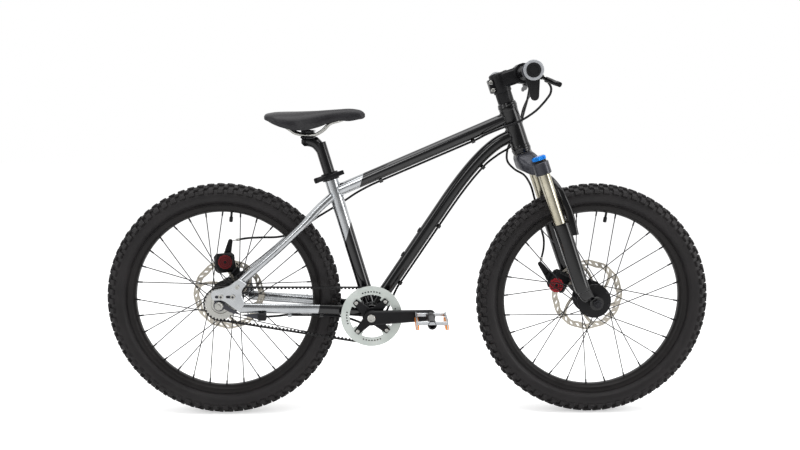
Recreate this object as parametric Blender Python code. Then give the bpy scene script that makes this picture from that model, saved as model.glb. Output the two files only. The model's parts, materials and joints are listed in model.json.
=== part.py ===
"""Kids' 20-inch mountain bike with belt drive, hub gear, suspension fork and two cable disc brakes.

Axes: +X forward, +Y to the rider's left, +Z up. The origin lies on the ground midway between
the wheels, so the tyres touch Z = 0. The drive side faces -Y. Lengths are metres.
"""
import bmesh
import bpy
import numpy as np
from math import acos, atan2, cos, degrees, pi, radians, sin, sqrt, tan
from mathutils import Matrix, Vector

# Clearances: between pieces that are fixed to each other, and round pieces that turn or slide
GAP = 0.0003
RUN_GAP = 0.0006

# Frame geometry
WHEELBASE = 0.807
HEAD_ANGLE = 71.0
SEAT_ANGLE = 73.2
FORK_RAKE = 0.045
BB_FORWARD = 0.3225
BB_DROP = 0.0265

# Wheels: 20-inch rims with wide knobbly tyres
TYRE_RADIUS = 0.255
TYRE_HALF_WIDTH = 0.028
TYRE_WALL = 0.0033
WHEEL_SIDES = 28
BEAD_SEAT_RADIUS = 0.203
RIM_FLANGE_HEIGHT = 0.006
RIM_DEPTH = 0.016
RIM_HALF_WIDTH = 0.0155
RIM_WALL = 0.0015
SPOKE_RADIUS = 0.001
SPOKE_HOLE_RADIUS = 0.0325
FLANGE_RADIUS = 0.037
FLANGE_HALF = 0.0015
VALVE_RADIUS = 0.004
VALVE_LENGTH = 0.022
AXLE_RADIUS = 0.005
AXLE_NUT_RADIUS = 0.0095
FRONT_SPOKES = 28
REAR_SPOKES = 32
FRONT_DROPOUT_Y = 0.050
REAR_DROPOUT_Y = 0.0675
FRONT_FLANGES = (-0.030, 0.025)
REAR_FLANGES = (-0.028, 0.030)
FRONT_SHELL_RADIUS = 0.0150
REAR_SHELL_RADIUS = 0.0290
HUB_END_RADIUS = 0.009

# Disc brakes
ROTOR_RADIUS = 0.080
ROTOR_RING = 0.015
ROTOR_HALF = 0.0009
ROTOR_BORE = 0.0145
ROTOR_CARRIER = 0.024
ROTOR_ARMS = 6
FRONT_ROTOR_Y = 0.040
REAR_ROTOR_Y = 0.052
PAD_GAP = 0.0013
PAD_KNOB_RADIUS = 0.0165
PAD_KNOB_WIDTH = 0.0035
CALIPER_RADIUS = 0.072
BRAKE_ARM_THICKNESS = 0.004

# Belt drive: a toothed belt of 8 mm pitch
BELT_PITCH = 0.008
FRONT_TEETH = 48
REAR_TEETH = 28
BELT_WIDTH = 0.010
BELT_Y = -0.049
BELT_BACK = 0.0015
TOOTH_HEIGHT = 0.0034
PITCH_LINE = 0.000686

# Cranks and pedals
CRANK_LENGTH = 0.125
CRANK_ANGLE = 2.5
CRANK_FACE_Y = 0.077
CRANK_THICKNESS = 0.011
CRANK_HUB_RADIUS = 0.0155
CRANK_END_RADIUS = 0.0115
SPINDLE_RADIUS = 0.0085
SPINDLE_TAPER_RADIUS = 0.0068
SPIDER_RADIUS = 0.049
SPIDER_THICKNESS = 0.0035
CHAINRING_BOLT_CIRCLE = 0.044
CHAINRING_BOLT_RADIUS = 0.004
GUARD_RADIUS = 0.0655
GUARD_THICKNESS = 0.0025
PEDAL_AXLE_RADIUS = 0.0045
PEDAL_LENGTH = 0.068
PEDAL_WIDTH = 0.083
PEDAL_HEIGHT = 0.021

# Frame tubes
HEAD_TUBE_RADIUS = 0.0195
HEAD_TUBE_WALL = 0.003
HEAD_TUBE_BOTTOM = 0.3668
HEAD_TUBE_LENGTH = 0.0909
CUP_HEIGHT = 0.0105
CUP_RADIUS = 0.021
CUP_SKIRT = 0.009
STEERER_RADIUS = 0.01425
STEERER_TOP = 0.5285
TUBE_WALL = 0.002
TOP_TUBE_RADIUS = 0.01325
TOP_TUBE_AT_HEAD = 0.4376
TOP_TUBE_AT_SEAT = 0.2743
DOWN_TUBE_RADIUS = 0.014
DOWN_TUBE_ANGLE = 56.3
DOWN_TUBE_HEAD_ANGLE = 25.9
DOWN_TUBE_STRAIGHT = 0.290
DOWN_TUBE_HEAD_STRAIGHT = 0.030
DOWN_TUBE_AT_HEAD = 0.3994
SEAT_TUBE_RADIUS = 0.0145
SEAT_TUBE_LENGTH = 0.3165
BB_SHELL_RADIUS = 0.0205
BB_SHELL_HALF = 0.034
BB_CUP_WIDTH = 0.004
BB_CUP_RADIUS = 0.0192
BB_CUP_DEPTH = 0.010
CHAINSTAY_HALF_HEIGHT = 0.0107
CHAINSTAY_HALF_WIDTH = 0.0062
SEATSTAY_RADIUS = 0.0085
DROPOUT_Y = 0.0705
DROPOUT_THICKNESS = 0.005
SLOT_HALF_HEIGHT = 0.003
FRAME_BOLT_RADIUS = 0.0046
FRAME_BOLT_HEAD = 0.0028
FRAME_SHANK_RADIUS = 0.0024
SHIFT_ARM_THICKNESS = 0.0025
BOTTLE_BOSSES = (0.1425, 0.2065)
BOTTLE_BOSS_RADIUS = 0.006
BOTTLE_BOSS_HEIGHT = 0.002

# Seat
SEATPOST_RADIUS = 0.0127
SEATPOST_BOTTOM = 0.140
SEATPOST_TOP = 0.385
COLLAR_WALL = 0.0036
COLLAR_BOTTOM = 0.3015
COLLAR_HEIGHT = 0.016
RAIL_RADIUS = 0.0035
RAIL_SPACING = 0.022
RAIL_HEIGHT = 0.616
RAIL_CLAMP_X = 0.187

# Fork, in the steering frame: height along the steering axis, reach in front of it
CROWN_TOP = 0.3555
CROWN_RADIUS = 0.0205
STANCHION_RADIUS = 0.0127
STANCHION_WALL = 0.002
STANCHION_REACH = 0.0205
STANCHION_HALF_SPACING = 0.0635
STANCHION_BOTTOM = 0.112
CLAMP_WALL = 0.0043
CLAMP_TOP = 0.3300
CLAMP_HEIGHT = 0.0265
KNOB_RADIUS = 0.0150
KNOB_HEIGHT = 0.013
LEG_TOP = 0.187
FORK_TRAVEL = 0.045
FORK_DROPOUT_RADIUS = 0.0155
FORK_DROPOUT_THICKNESS = 0.008

# Cockpit, in the steering frame
STEM_BOTTOM = 0.492
STEM_TOP = 0.5345
STEM_RADIUS = 0.0195
STEM_HALF_WIDTH = 0.019
SPACER_RADIUS = 0.0175
BAR_HEIGHT = 0.5161
BAR_REACH = 0.0516
BAR_RADIUS = 0.0111
BAR_WALL = 0.0018
BAR_CLAMP_RADIUS = 0.0159
BAR_CLAMP_WALL = 0.0052
BAR_CLAMP_HALF = 0.0225
BAR_HALF_WIDTH = 0.2785
BAR_BACK_SWEEP = 7.3
BAR_RISE = 1.0
BAR_BEND_START = 0.095
BAR_BEND_END = 0.130
PERCH_START = 0.1330
PERCH_WIDTH = 0.016
PERCH_RADIUS = 0.0148
LEVER_PIVOT = 0.036
LEVER_ANGLE = 46.0
TONGUE_HALF = 0.0024
TONGUE_RADIUS = 0.0075
LEVER_HALF_HEIGHT = 0.0052
SHIFTER_START = 0.1515
SHIFTER_WIDTH = 0.0255
SHIFTER_RADIUS = 0.0195
PADDLE_WIDTH = 0.0055
PADDLE_REACH = 0.0495
GRIP_START = 0.1845
GRIP_RADIUS = 0.0142
GRIP_FLANGE_RADIUS = 0.0172
GRIP_END = 0.003
HOUSING_RADIUS = 0.0024
CLIP_WALL = 0.0016
CLIP_LENGTH = 0.008

# Flat sides given to round sections
SHAFT_SIDES = 12
TUBE_SIDES = 16
CUP_SIDES = 20

LEFT = Vector((0, 1, 0))
UP = Vector((0, 0, 1))


def at(x=0.0, y=0.0, z=0.0):
    return Matrix.Translation((x, y, z))


def turn(angle, axis):
    return Matrix.Rotation(radians(angle), 4, axis)


def facing(origin, z_axis, y_axis=LEFT):
    """A frame at origin whose Z runs along z_axis and whose Y is as near as it can be to y_axis."""
    z_axis = Vector(z_axis).normalized()
    x_axis = Vector(y_axis).cross(z_axis).normalized()
    y_axis = z_axis.cross(x_axis)
    return Matrix.Translation(origin) @ Matrix((x_axis, y_axis, z_axis)).transposed().to_4x4()


def bore(radius, sides, gap=GAP):
    """The radius of a hole with flat sides that clears a round piece all the way round."""
    return (radius + gap) / cos(pi / sides)


def from_rear(x, y, z):
    """A place given by its distance in front of the rear axle, to the left and above the ground."""
    return Vector((x - WHEELBASE / 2, y, z))


# Places worked out from the driving dimensions
REAR_AXLE = from_rear(0, 0, TYRE_RADIUS)
FRONT_AXLE = from_rear(WHEELBASE, 0, TYRE_RADIUS)
BB_CENTRE = from_rear(BB_FORWARD, 0, TYRE_RADIUS - BB_DROP)
STEER_UP = Vector((-cos(radians(HEAD_ANGLE)), 0, sin(radians(HEAD_ANGLE))))
STEER_FORWARD = Vector((sin(radians(HEAD_ANGLE)), 0, cos(radians(HEAD_ANGLE))))
STEER = facing(FRONT_AXLE - FORK_RAKE * STEER_FORWARD, STEER_UP)
SEAT = facing(BB_CENTRE, (-cos(radians(SEAT_ANGLE)), 0, sin(radians(SEAT_ANGLE))))
ACROSS = turn(-90, "X")
FLAT = turn(90, "X")
CRANK = at(*BB_CENTRE) @ turn(-CRANK_ANGLE, "Y")
HEAD_TUBE_TOP = HEAD_TUBE_BOTTOM + HEAD_TUBE_LENGTH
FRONT_PITCH_RADIUS = FRONT_TEETH * BELT_PITCH / (2 * pi)
REAR_PITCH_RADIUS = REAR_TEETH * BELT_PITCH / (2 * pi)
RIM_FLANGE_RADIUS = BEAD_SEAT_RADIUS + RIM_FLANGE_HEIGHT
RIM_BED_RADIUS = RIM_FLANGE_RADIUS - RIM_DEPTH
BAR_BORE = bore(BAR_RADIUS, TUBE_SIDES)
BAR_CLAMP_BORE = bore(BAR_CLAMP_RADIUS, TUBE_SIDES)
STANCHION_BORE = bore(STANCHION_RADIUS, TUBE_SIDES)

# Finishes: colour, roughness, metallic
FINISHES = {
    "brushed_aluminium": ((0.62, 0.63, 0.64), 0.32, 1.0),
    "black_paint": ((0.012, 0.012, 0.014), 0.12, 0.0),
    "satin_black": ((0.016, 0.016, 0.018), 0.45, 0.2),
    "black_plastic": ((0.02, 0.02, 0.022), 0.5, 0.0),
    "rubber": ((0.022, 0.021, 0.023), 0.75, 0.0),
    "steel": ((0.55, 0.54, 0.52), 0.3, 1.0),
    "pulley_alloy": ((0.60, 0.64, 0.62), 0.4, 0.6),
    "gunmetal": ((0.10, 0.10, 0.12), 0.4, 0.6),
    "champagne": ((0.56, 0.53, 0.45), 0.2, 1.0),
    "blue_anodised": ((0.01, 0.13, 0.52), 0.3, 0.7),
    "red_anodised": ((0.30, 0.02, 0.03), 0.4, 0.5),
    "vinyl": ((0.035, 0.033, 0.036), 0.5, 0.0),
    "grip_rubber": ((0.03, 0.03, 0.032), 0.65, 0.0),
}


def finish(name):
    material = bpy.data.materials.get(name)
    if material is None:
        colour, roughness, metallic = FINISHES[name]
        material = bpy.data.materials.new(name)
        material.use_nodes = True
        shader = material.node_tree.nodes["Principled BSDF"]
        shader.inputs["Base Color"].default_value = (*colour, 1)
        shader.inputs["Roughness"].default_value = roughness
        shader.inputs["Metallic"].default_value = metallic
    return material


def place(obj, frame, parent):
    bpy.context.scene.collection.objects.link(obj)
    if parent is not None:
        obj.parent = parent
        obj.matrix_parent_inverse = parent.matrix_world.inverted()
    obj.matrix_basis = frame
    bpy.context.view_layer.update()
    return obj


def pivot(name, frame, parent=None):
    """An empty on a joint: its Z is the joint's axis."""
    return place(bpy.data.objects.new(name, None), frame, parent)


def smooth_round_faces(mesh):
    mesh.shade_smooth()
    mesh.set_sharp_from_angle(angle=radians(35))


def solid(bm, name="helper", material="steel", frame=Matrix.Identity(4), parent=None):
    """Turns a bmesh into an object at the given frame."""
    bmesh.ops.recalc_face_normals(bm, faces=bm.faces)
    mesh = bpy.data.meshes.new(name)
    bm.to_mesh(mesh)
    bm.free()
    smooth_round_faces(mesh)
    mesh.materials.append(finish(material))
    return place(bpy.data.objects.new(name, mesh), frame, parent)


def combine(target, others, operation):
    """Applies a Boolean of the target with each other object, which it uses up."""
    for other in others:
        modifier = target.modifiers.new(operation.lower(), "BOOLEAN")
        modifier.operation = operation
        modifier.object = other
        bpy.context.view_layer.update()
        graph = bpy.context.evaluated_depsgraph_get()
        mesh = bpy.data.meshes.new_from_object(target.evaluated_get(graph))
        target.modifiers.clear()
        target.data = mesh
        bpy.data.objects.remove(other, do_unlink=True)
    smooth_round_faces(target.data)
    return target


def cut(target, *cutters):
    return combine(target, cutters, "DIFFERENCE")


def join(target, *others):
    return combine(target, others, "UNION")


def bridge(bm, first, second):
    for i in range(len(first)):
        j = (i + 1) % len(first)
        bm.faces.new((first[i], first[j], second[j], second[i]))


def lathe(profile, sides=TUBE_SIDES, frame=Matrix.Identity(4), bm=None, closed=True):
    """Turns (radius, height) points about the frame's Z axis.

    A closed profile gives a ring with a bore. An open one starts and ends on the axis.
    """
    bm = bm or bmesh.new()
    rings = []
    for radius, height in profile:
        angles = [2 * pi * (k + 0.5) / sides for k in range(sides if radius else 1)]
        rings.append([bm.verts.new(frame @ Vector((radius * cos(a), radius * sin(a), height)))
                      for a in angles])
    pairs = list(zip(rings, rings[1:])) + ([(rings[-1], rings[0])] if closed else [])
    for first, second in pairs:
        if len(first) == len(second):
            bridge(bm, first, second)
        else:
            tip, edge = sorted((first, second), key=len)
            for i in range(sides):
                bm.faces.new((tip[0], edge[i], edge[(i + 1) % sides]))
    return bm


def rod(radius, low, high, sides=SHAFT_SIDES, frame=Matrix.Identity(4), bm=None):
    """A cylinder along the frame's Z axis."""
    return lathe([(0, low), (radius, low), (radius, high), (0, high)], sides, frame, bm, False)


def sleeve(inner, outer, low, high, sides=TUBE_SIDES, frame=Matrix.Identity(4), bm=None):
    """A round tube along the frame's Z axis."""
    return lathe([(inner, low), (outer, low), (outer, high), (inner, high)], sides, frame, bm)


def loft(frames, sizes, sides=12, wall=0.0, power=2.0):
    """Carries a rounded section of half sizes (x, y) through the frames.

    With a wall it is a pipe that is open at both ends. A power over 2 squares the section.
    """
    bm = bmesh.new()

    def section(frame, half_x, half_y):
        ring = []
        for k in range(sides):
            a = 2 * pi * (k + 0.5) / sides
            grow = (abs(cos(a)) ** power + abs(sin(a)) ** power) ** (-1 / power)
            ring.append(bm.verts.new(frame @ Vector((half_x * cos(a) * grow, half_y * sin(a) * grow, 0))))
        return ring

    outer = [section(f, x, y) for f, (x, y) in zip(frames, sizes)]
    for first, second in zip(outer, outer[1:]):
        bridge(bm, first, second)
    if wall:
        inner = [section(f, x - wall, y - wall) for f, (x, y) in zip(frames, sizes)]
        for first, second in zip(inner, inner[1:]):
            bridge(bm, first, second)
        bridge(bm, outer[0], inner[0])
        bridge(bm, outer[-1], inner[-1])
    else:
        bm.faces.new(outer[0])
        bm.faces.new(outer[-1])
    return bm


def path_frames(points, side=LEFT):
    """A frame at each point of a path, Z along the path and Y near to the given side."""
    points = [Vector(p) for p in points]
    last = len(points) - 1
    return [facing(p, points[min(i + 1, last)] - points[max(i - 1, 0)], side)
            for i, p in enumerate(points)]


def tube(points, radius, wall=0.0, sides=12, side=LEFT):
    """A round tube, or a rod if it has no wall, along a path."""
    return loft(path_frames(points, side), [(radius, radius)] * len(points), sides, wall)


def block(size, frame=Matrix.Identity(4), bm=None, bevel=0.0):
    """A box centred on the frame, with its edges bevelled."""
    bm = bm or bmesh.new()
    made = bmesh.ops.create_cube(bm, size=1, matrix=frame @ Matrix.Diagonal((*size, 1)))
    if bevel:
        edges = list({edge for vert in made["verts"] for edge in vert.link_edges})
        bmesh.ops.bevel(bm, geom=edges, offset=bevel, segments=1, affect="EDGES")
    return bm


def prism(outline, low, high, frame=Matrix.Identity(4), bm=None):
    """Extrudes an outline of (x, z) points along Y, between two distances."""
    bm = bm or bmesh.new()
    rings = [[bm.verts.new(frame @ Vector((x, y, z))) for x, z in outline] for y in (low, high)]
    bridge(bm, *rings)
    for ring in rings:
        bm.faces.new(ring)
    return bm


def arc(centre, radius, start, end, steps):
    """Points of an arc in a plane, its angles in degrees."""
    angles = np.radians(np.linspace(start, end, steps + 1))
    return [(centre[0] + radius * cos(a), centre[1] + radius * sin(a)) for a in angles]


def link(start, end, start_radius, end_radius, steps=6):
    """The outline of a bar with two round ends."""
    angle = degrees(atan2(end[1] - start[1], end[0] - start[0]))
    return (arc(start, start_radius, angle + 90, angle + 270, steps)
            + arc(end, end_radius, angle - 90, angle + 90, steps))


def smooth_path(points, steps=2):
    """A smooth curve through the points, with the given steps between each pair.

    At each point its direction leans to that of the shorter side.
    """
    points = [Vector(p) for p in points]
    chords = [b - a for a, b in zip(points, points[1:])]
    ways = [chord.normalized() for chord in chords]
    middle = [(after.length * way + before.length * next_way) / (before.length + after.length)
              for before, after, way, next_way in zip(chords, chords[1:], ways, ways[1:])]
    tangents = [ways[0], *middle, ways[-1]]
    curve = []
    for point, chord, leave, arrive in zip(points, chords, tangents, tangents[1:]):
        for k in range(steps):
            t = k / steps
            bend = leave * (t - 2 * t ** 2 + t ** 3) + arrive * (t ** 3 - t ** 2)
            curve.append(point + chord * (3 * t ** 2 - 2 * t ** 3) + bend * chord.length)
    return curve + [points[-1]]


# Wheels

def tyre(name, parent, centre):
    """An open casing from bead to bead, with a flat tread and square shoulders."""
    bead = RIM_HALF_WIDTH - RIM_WALL - GAP
    above_flange = RIM_FLANGE_RADIUS + 0.0015
    outer = [
        (BEAD_SEAT_RADIUS + GAP, bead),
        (above_flange, bead),
        (TYRE_RADIUS - 0.017, TYRE_HALF_WIDTH),
        (TYRE_RADIUS, TYRE_HALF_WIDTH - 0.012),
    ]
    inner = [
        (TYRE_RADIUS - 1.5 * TYRE_WALL, TYRE_HALF_WIDTH - 0.012 - TYRE_WALL),
        (TYRE_RADIUS - 0.017, TYRE_HALF_WIDTH - TYRE_WALL),
        (above_flange, bead - TYRE_WALL),
        (BEAD_SEAT_RADIUS + GAP, bead - TYRE_WALL),
    ]
    right = [(r, -y) for r, y in outer + inner]
    profile = outer + right[3::-1] + right[:3:-1] + inner
    flat = cos(pi / WHEEL_SIDES)
    bm = lathe([(r / flat, y) for r, y in profile], WHEEL_SIDES, ACROSS)
    return solid(bm, name, "rubber", at(*centre), parent)


def rim(name, parent, centre, valve_angle):
    """A rim with a V bed, a well and two flanges, and the tube's valve."""
    half = [
        (RIM_BED_RADIUS, 0.006),
        (RIM_BED_RADIUS + 0.006, RIM_HALF_WIDTH - 0.0005),
        (RIM_FLANGE_RADIUS, RIM_HALF_WIDTH),
        (RIM_FLANGE_RADIUS, RIM_HALF_WIDTH - RIM_WALL),
        (BEAD_SEAT_RADIUS, RIM_HALF_WIDTH - RIM_WALL),
        (BEAD_SEAT_RADIUS - 0.006, 0.0065),
    ]
    flat = cos(pi / WHEEL_SIDES)
    profile = [(r / flat, y) for r, y in half] + [(r / flat, -y) for r, y in reversed(half)]
    ring = solid(lathe(profile, WHEEL_SIDES, ACROSS), name, "satin_black", at(*centre), parent)
    outward = turn(-valve_angle, "Y") @ turn(90, "Y")
    tip = RIM_BED_RADIUS - VALVE_LENGTH
    stem = lathe([(0, RIM_BED_RADIUS + 0.002), (0.65 * VALVE_RADIUS, RIM_BED_RADIUS + 0.002),
                  (0.65 * VALVE_RADIUS, tip + 0.010), (VALVE_RADIUS, tip + 0.009),
                  (VALVE_RADIUS, tip + 0.001), (0.6 * VALVE_RADIUS, tip), (0, tip)],
                 8, outward, closed=False)
    return join(ring, solid(stem, frame=at(*centre)))


def spokes(count, flanges, phase, first_sign):
    """Crossed spokes, right and left flange in turn, heads out and heads in by pairs.

    Each starts in its flange, two crosses away, and ends at the rim near the middle.
    """
    bm = bmesh.new()
    lead = 4 * 360.0 / count
    for k in range(count):
        sign = first_sign if k % 4 < 2 else -first_sign
        flange_y = flanges[k % 2]
        outward = 1 if flange_y > 0 else -1
        start_y = flange_y + outward * sign * (FLANGE_HALF + 0.25 * SPOKE_RADIUS)
        end_radius = RIM_BED_RADIUS - 2 * GAP
        angle = radians(phase + 360.0 * k / count)
        root = angle + sign * radians(lead)
        start = Vector((SPOKE_HOLE_RADIUS * cos(root), start_y, SPOKE_HOLE_RADIUS * sin(root)))
        end = Vector((end_radius * cos(angle), outward * 0.002, end_radius * sin(angle)))
        rod(SPOKE_RADIUS, 0, (end - start).length, 3, facing(start, end - start), bm)
    return bm


def hub(name, parent, centre, flanges, shell_radius, right_end, right_radius, rotor_y, left_end, laced):
    """A hub shell with two flanges, its laced spokes, and the seat and lock ring of the rotor."""
    right, left = flanges
    hole = bore(AXLE_RADIUS, SHAFT_SIDES, RUN_GAP)
    seat = rotor_y - ROTOR_HALF - GAP
    ring = rotor_y + ROTOR_HALF + GAP
    profile = [
        (hole, right_end), (right_radius, right_end), (right_radius, right - FLANGE_HALF - 0.002),
        (FLANGE_RADIUS, right - FLANGE_HALF), (FLANGE_RADIUS, right + FLANGE_HALF),
        (shell_radius, right + FLANGE_HALF + 0.002), (shell_radius, left - FLANGE_HALF - 0.002),
        (FLANGE_RADIUS, left - FLANGE_HALF), (FLANGE_RADIUS, left + FLANGE_HALF),
        (ROTOR_CARRIER - 0.002, left + FLANGE_HALF + 0.001), (ROTOR_CARRIER - 0.002, seat),
        (ROTOR_BORE - GAP, seat), (ROTOR_BORE - GAP, ring), (ROTOR_BORE + 0.003, ring),
        (ROTOR_BORE + 0.003, ring + 0.0025), (HUB_END_RADIUS, ring + 0.0025), (HUB_END_RADIUS, left_end),
        (hole, left_end),
    ]
    shell = solid(lathe(profile, 14, ACROSS), name, "satin_black", at(*centre), parent)
    return join(shell, solid(laced, frame=at(*centre)))


def rotor(name, parent, centre, y):
    """A disc rotor: a braking ring on slanting arms."""
    disc = solid(sleeve(ROTOR_BORE, ROTOR_RADIUS, y - ROTOR_HALF, y + ROTOR_HALF, 30, ACROSS),
                 name, "steel", at(*centre), parent)
    windows = bmesh.new()
    step = 360.0 / ROTOR_ARMS
    for k in range(ROTOR_ARMS):
        outline = (arc((0, 0), ROTOR_RADIUS - ROTOR_RING, step * k, step * (k + 0.78), 3)
                   + arc((0, 0), ROTOR_CARRIER, step * (k + 0.45), step * k - 4, 1))
        prism(outline, y - 0.004, y + 0.004, bm=windows)
    return cut(disc, solid(windows, frame=at(*centre)))


def axle(name, parent, centre, right_nut, left_nut):
    """A threaded axle with a nut at each end."""
    nut, stub = 0.007, 0.0035
    half = [(AXLE_NUT_RADIUS, 0), (AXLE_NUT_RADIUS, nut), (AXLE_RADIUS, nut), (AXLE_RADIUS, nut + stub)]
    profile = [(0, -right_nut - nut - stub)] + [(r, -right_nut - y) for r, y in reversed(half)]
    profile += [(AXLE_RADIUS, -right_nut), (AXLE_RADIUS, left_nut)]
    profile += [(r, left_nut + y) for r, y in half] + [(0, left_nut + nut + stub)]
    bm = lathe(profile, SHAFT_SIDES, ACROSS, closed=False)
    return solid(bm, name, "steel", at(*centre), parent)


# Belt drive

def tooth_outline(pitch_radius, teeth):
    """A pulley's outline: a valley and a tip for each tooth."""
    tip = pitch_radius - PITCH_LINE
    outline = []
    for k in range(teeth):
        for share, radius in ((0.0, tip - TOOTH_HEIGHT), (0.5, tip)):
            a = 2 * pi * (k + share) / teeth
            outline.append((radius * cos(a), radius * sin(a)))
    return outline


def belt(parent):
    """The belt's back round both pulleys, which clears the tips of their teeth."""
    line = BB_CENTRE - REAR_AXLE
    base = atan2(line.z, line.x)
    lean = acos((REAR_PITCH_RADIUS - FRONT_PITCH_RADIUS) / line.length)
    right, left = BELT_Y - BELT_WIDTH / 2, BELT_Y + BELT_WIDTH / 2
    inner = GAP - PITCH_LINE
    bm = bmesh.new()
    rings = []
    for centre, radius, start, end, steps in (
            (BB_CENTRE, FRONT_PITCH_RADIUS, base + lean, base - lean, 24),
            (REAR_AXLE, REAR_PITCH_RADIUS, base - lean + 2 * pi, base + lean, 18)):
        for a in np.linspace(start, end, steps + 1):
            corners = [(BELT_BACK, right), (BELT_BACK, left), (inner, left), (inner, right)]
            rings.append([bm.verts.new((centre.x + (radius + depth) * cos(a), y,
                                        centre.z + (radius + depth) * sin(a))) for depth, y in corners])
    for first, second in zip(rings, rings[1:] + rings[:1]):
        bridge(bm, first, second)
    return solid(bm, "belt", "rubber", parent=parent)


PULLEY_FACE = BELT_Y - BELT_WIDTH / 2 - GAP
PULLEY_BACK = BELT_Y + BELT_WIDTH / 2 + GAP


def rear_sprocket(parent):
    """The driver on the hub's right side with its toothed sprocket."""
    hole = bore(AXLE_RADIUS, SHAFT_SIDES, RUN_GAP)
    start, end = REAR_FLANGES[0] - 0.0125, -REAR_DROPOUT_Y + GAP
    profile = [(hole, start), (0.021, start), (0.021, PULLEY_FACE - 0.001), (0.018, PULLEY_FACE - 0.004),
               (0.012, PULLEY_FACE - 0.0075), (HUB_END_RADIUS, end), (hole, end)]
    driver = solid(lathe(profile, SHAFT_SIDES, ACROSS), "rear_sprocket", "steel", at(*REAR_AXLE), parent)
    teeth = solid(prism(tooth_outline(REAR_PITCH_RADIUS, REAR_TEETH), PULLEY_FACE, PULLEY_BACK),
                  frame=at(*REAR_AXLE))
    middle = solid(rod(0.017, PULLEY_FACE - 0.001, PULLEY_BACK + 0.001, SHAFT_SIDES, ACROSS),
                   frame=at(*REAR_AXLE))
    return join(driver, cut(teeth, middle))


def front_pulley(parent):
    """The toothed belt pulley with the guard ring that it is bolted through."""
    ring = solid(prism(tooth_outline(FRONT_PITCH_RADIUS, FRONT_TEETH), PULLEY_FACE - 0.0005, PULLEY_BACK),
                 "front_pulley", "pulley_alloy", CRANK, parent)
    guard = solid(rod(GUARD_RADIUS, PULLEY_FACE - GUARD_THICKNESS, PULLEY_FACE, 30, ACROSS), frame=CRANK)
    recess = solid(rod(FRONT_PITCH_RADIUS - 0.010, PULLEY_FACE + 0.0005, PULLEY_BACK + 0.002, 20, ACROSS),
                   frame=CRANK)
    hole = solid(rod(CHAINRING_BOLT_CIRCLE - 0.005, PULLEY_FACE - 0.010, PULLEY_BACK + 0.002, 20, ACROSS),
                 frame=CRANK)
    return cut(join(ring, guard), recess, hole)


# Cranks and pedals

SPIDER_Y = PULLEY_FACE - GUARD_THICKNESS - GAP


def crank_arm(side, parent):
    """A crank arm with its pedal axle. The right one also has the spider of the pulley."""
    sign = -1 if side == "right" else 1
    end = -sign * CRANK_LENGTH
    outer, inner = sign * CRANK_FACE_Y, sign * (CRANK_FACE_Y - CRANK_THICKNESS)
    hub_inner = -sign * SPIDER_Y
    arm = solid(prism(link((0, 0), (end, 0), CRANK_HUB_RADIUS, CRANK_END_RADIUS), *sorted((inner, outer))),
                "crank_arm_" + side, "satin_black", CRANK, parent)
    boss = rod(CRANK_HUB_RADIUS - 0.0005, *sorted((hub_inner, outer - sign * 0.001)), SHAFT_SIDES, ACROSS)
    stub = sorted((inner + sign * 0.001, sign * (CRANK_FACE_Y + PEDAL_WIDTH - 0.007)))
    axle_rod = rod(PEDAL_AXLE_RADIUS, *stub, SHAFT_SIDES, at(end) @ ACROSS)
    join(arm, solid(boss, frame=CRANK), solid(axle_rod, frame=CRANK))
    if side == "right":
        star = []
        for k in range(4):
            middle = 45 + 90 * k
            star += arc((0, 0), SPIDER_RADIUS, middle - 8, middle + 8, 2)
            star += arc((0, 0), CRANK_HUB_RADIUS + 0.004, middle + 35, middle + 55, 1)
        join(arm, solid(prism(star, SPIDER_Y - SPIDER_THICKNESS, SPIDER_Y), frame=CRANK))
        bolts = bmesh.new()
        for k in range(4):
            x, z = arc((0, 0), CHAINRING_BOLT_CIRCLE, 45 + 90 * k, 0, 1)[0]
            rod(CHAINRING_BOLT_RADIUS, SPIDER_Y - SPIDER_THICKNESS - 0.002, SPIDER_Y - SPIDER_THICKNESS / 2,
                6, at(x, 0, z) @ ACROSS, bolts)
        join(arm, solid(bolts, frame=CRANK))
    hole = rod(bore(SPINDLE_TAPER_RADIUS, SHAFT_SIDES), *sorted((0.6 * hub_inner, 1.2 * outer)), SHAFT_SIDES,
               ACROSS)
    return cut(arm, solid(hole, frame=CRANK))


def crank_spindle(parent):
    """The spindle through the bottom bracket, with a bolt head outside each crank."""
    shoulder = -SPIDER_Y - 0.0006
    half = [(SPINDLE_RADIUS, shoulder), (SPINDLE_TAPER_RADIUS, shoulder),
            (SPINDLE_TAPER_RADIUS, CRANK_FACE_Y + GAP), (SPINDLE_RADIUS, CRANK_FACE_Y + GAP),
            (SPINDLE_RADIUS, CRANK_FACE_Y + 0.0022), (0, CRANK_FACE_Y + 0.0022)]
    profile = [(r, -y) for r, y in reversed(half)] + half
    return solid(lathe(profile, SHAFT_SIDES, ACROSS, closed=False), "crank_spindle", "steel", CRANK, parent)


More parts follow.
